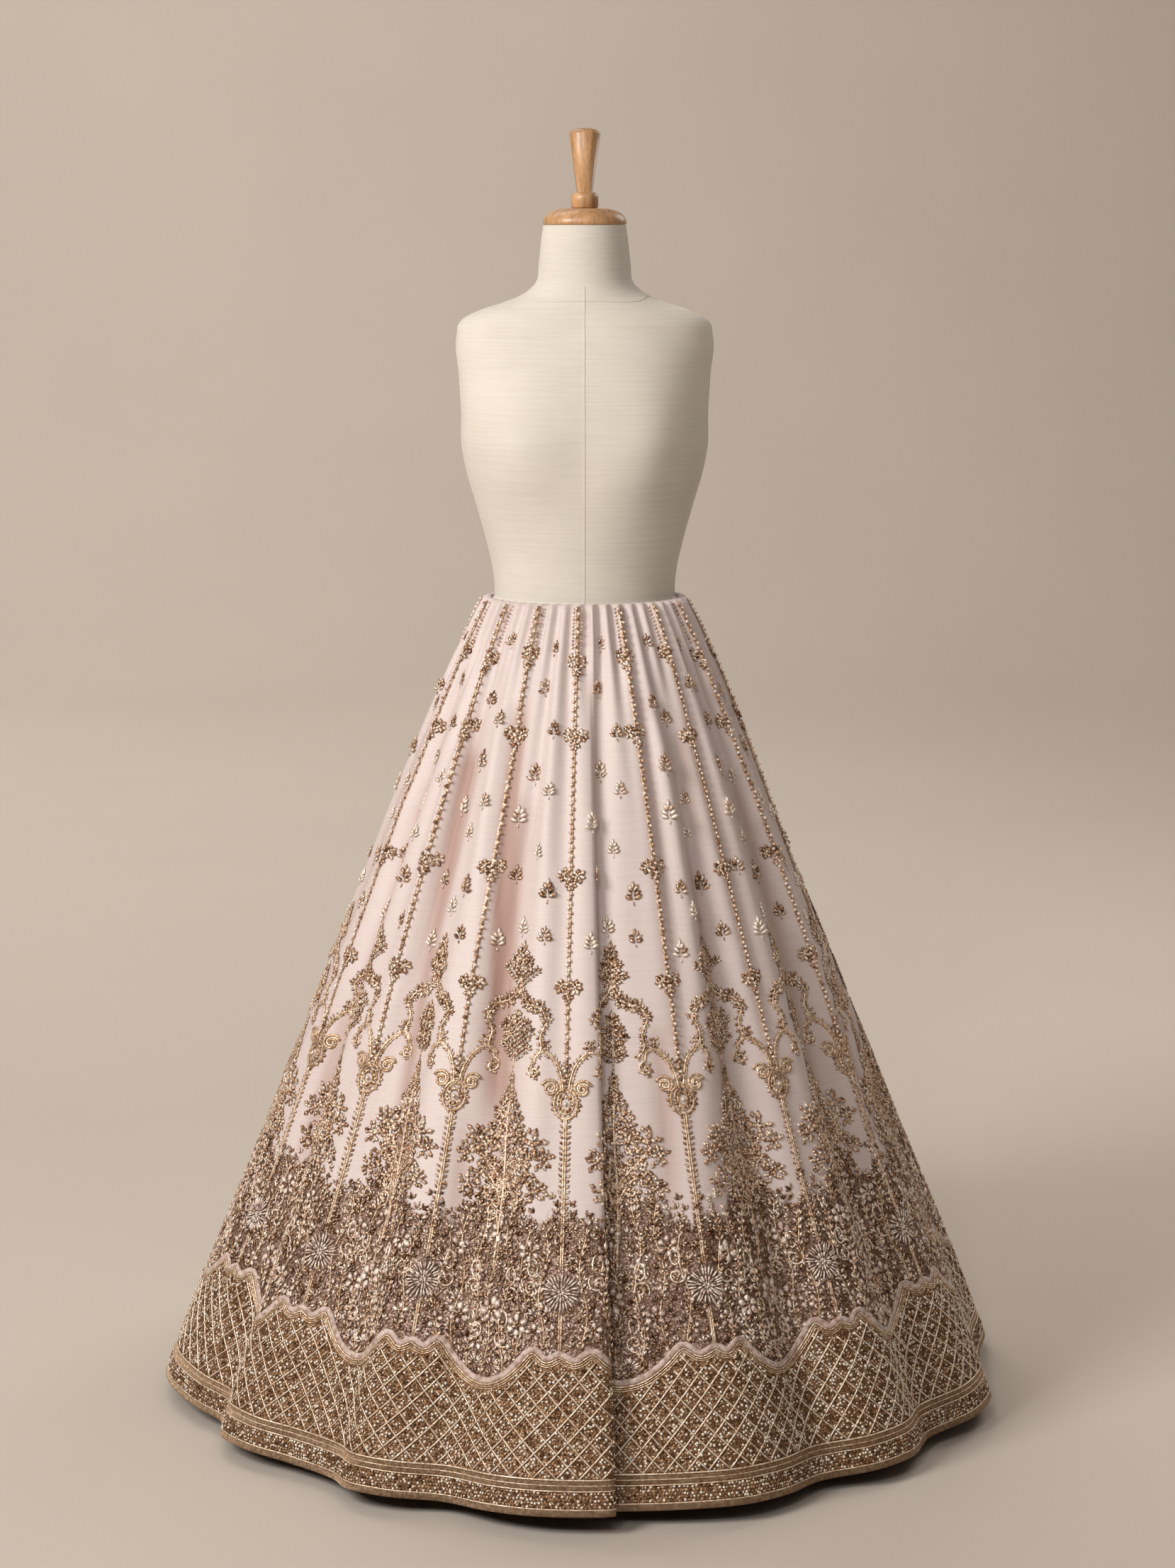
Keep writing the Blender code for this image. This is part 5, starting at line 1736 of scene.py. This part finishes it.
class LEHENGA_OT_casing(bpy.types.Operator):
    """Gives the waist casing its silk"""

    bl_idname = "lehenga.casing"
    bl_label = "Waist casing"

    def execute(self, context):
        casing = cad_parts["waist_casing"]
        casing.data.materials.clear()
        casing.data.materials.append(casing_material(settings_of(context, "skirt")))
        return {"FINISHED"}


class LEHENGA_OT_stage(bpy.types.Operator):
    """Sets the floor, the backdrop, the soft lights and the camera"""

    bl_idname = "lehenga.stage"
    bl_label = "Stage"

    def execute(self, context):
        settings = settings_of(context, "stage")
        clear_selection()
        bpy.ops.mesh.primitive_plane_add(size=1.0, location=(0, 0, 0))
        floor = context.object
        floor.name = "studio_floor"
        back, width, length, tall, curve = 9.0, 40.0, 24.0, 9.0, 3.0
        bpy.ops.object.mode_set(mode="EDIT")
        bpy.ops.mesh.select_all(action="SELECT")
        bpy.ops.transform.resize(value=(width, length, 1.0))
        bpy.ops.transform.translate(value=(0, back - length / 2 - curve, 0))
        bpy.ops.object.mode_set(mode="OBJECT")
        at_back = [vertex.co.y > 0 for vertex in floor.data.vertices]
        for edge in floor.data.edges:
            edge.select = all(at_back[i] for i in edge.vertices)
        for vertex, chosen in zip(floor.data.vertices, at_back):
            vertex.select = chosen
        bpy.ops.object.mode_set(mode="EDIT")
        bpy.ops.mesh.select_mode(type="EDGE")
        steps = 16
        for step in range(steps):
            first, second = (math.pi / 2 * (step + i) / steps for i in (0, 1))
            away = curve * (math.sin(second) - math.sin(first))
            rise = curve * (math.cos(first) - math.cos(second))
            bpy.ops.mesh.extrude_region_move(TRANSFORM_OT_translate={"value": (0, away, rise)})
        bpy.ops.mesh.extrude_region_move(TRANSFORM_OT_translate={"value": (0, 0, tall - curve)})
        bpy.ops.object.mode_set(mode="OBJECT")
        floor.data.shade_smooth()
        floor.data.materials.append(paper_material(settings))
        clear_selection()

        world = bpy.data.worlds.new("studio air")
        context.scene.world = world
        world.use_nodes = True
        air = world.node_tree.nodes["Background"]
        air.inputs["Color"].default_value = AIR_COLOUR
        air.inputs["Strength"].default_value = AIR_STRENGTH
        lights = (
            ("key", (-2.7, -2.3, 2.9), 1.5, settings.key, (1.0, 0.965, 0.92)),
            ("fill", (3.0, -3.2, 2.0), 2.4, settings.key * 0.04, (1.0, 0.95, 0.90)),
            ("rim", (2.2, 2.2, 2.8), 1.6, settings.key * 0.18, (1.0, 0.97, 0.93)),
            ("front", (0.0, -3.4, 3.8), 2.5, settings.key * 0.25, (1.0, 0.965, 0.93)),
            ("sparkle", (-0.9, -3.6, 3.2), 0.22, settings.key * 0.16, (1.0, 0.98, 0.94)),
            ("backdrop", (-2.4, 3.6, 6.0), 4.0, settings.key * 2.0, (1.0, 0.965, 0.92)),
        )
        targets = {"backdrop": (-2.4, 8.0, 0.7), "front": (0.0, -1.4, 0.0)}
        for name, place, size, power, colour in lights:
            lamp = bpy.data.lights.new(name, "AREA")
            lamp.size = size
            lamp.energy = power
            lamp.color = colour
            light = bpy.data.objects.new(name, lamp)
            light.location = place
            aim = np.array(targets.get(name, (0.0, 0.0, 0.7))) - np.array(place)
            light.rotation_euler = (
                math.atan2(math.hypot(aim[0], aim[1]), -aim[2]), 0.0, math.atan2(-aim[0], aim[1])
            )
            context.scene.collection.objects.link(light)

        lens = bpy.data.cameras.new("photograph")
        lens.sensor_fit = "VERTICAL"
        lens.sensor_height = SENSOR
        lens.sensor_width = SENSOR
        lens.lens = FOCAL_PIXELS / PHOTO_HEIGHT * SENSOR
        camera = bpy.data.objects.new("photograph", lens)
        camera.location = CAMERA_PLACE
        camera.rotation_euler = (math.pi / 2 - CAMERA_PITCH, 0.0, 0.0)
        context.scene.collection.objects.link(camera)
        context.scene.camera = camera
        context.scene.view_settings.view_transform = "Standard"
        return {"FINISHED"}


class LEHENGA_OT_threads(bpy.types.Operator):
    """Mixes the metal thread, cord, bead and sequin materials that the embroidery shares"""

    bl_idname = "lehenga.threads"
    bl_label = "Threads and beads"

    def execute(self, context):
        for thread in THREADS:
            thread_material(thread)
        return {"FINISHED"}


STEPS = (
    LEHENGA_OT_threads,
    LEHENGA_OT_silk,
    LEHENGA_OT_border,
    LEHENGA_OT_seam_beads,
    LEHENGA_OT_rosettes,
    LEHENGA_OT_sprigs,
    LEHENGA_OT_arches,
    LEHENGA_OT_trees,
    LEHENGA_OT_floral_band,
    LEHENGA_OT_scallops,
    LEHENGA_OT_trellis,
    LEHENGA_OT_sequins,
    LEHENGA_OT_hem_trim,
    LEHENGA_OT_form,
    LEHENGA_OT_wood,
    LEHENGA_OT_casing,
    LEHENGA_OT_stage,
)


class LEHENGA_PT_panel(bpy.types.Panel):
    bl_idname = "LEHENGA_PT_panel"
    bl_label = "Lehenga skirt"
    bl_space_type = "VIEW_3D"
    bl_region_type = "UI"
    bl_category = "Lehenga"

    def draw(self, context):
        for part in ("skirt", "form", "stage"):
            box = self.layout.box()
            settings = settings_of(context, part)
            for name in settings.__annotations__:
                box.prop(settings, name)
        for step in STEPS:
            self.layout.operator(step.bl_idname)


CLASSES = (SkirtSettings, FormSettings, StageSettings, *STEPS, LEHENGA_PT_panel)


def register():
    for item in CLASSES:
        bpy.utils.register_class(item)
    bpy.types.Scene.lehenga_skirt = bpy.props.PointerProperty(type=SkirtSettings)
    bpy.types.Scene.lehenga_form = bpy.props.PointerProperty(type=FormSettings)
    bpy.types.Scene.lehenga_stage = bpy.props.PointerProperty(type=StageSettings)


def unregister():
    for part in ("skirt", "form", "stage"):
        delattr(bpy.types.Scene, f"lehenga_{part}")
    for item in reversed(CLASSES):
        bpy.utils.unregister_class(item)


def main():
    register()
    for step in STEPS:
        family, name = step.bl_idname.split(".")
        getattr(getattr(bpy.ops, family), name)()


if __name__ == "__main__":
    main()
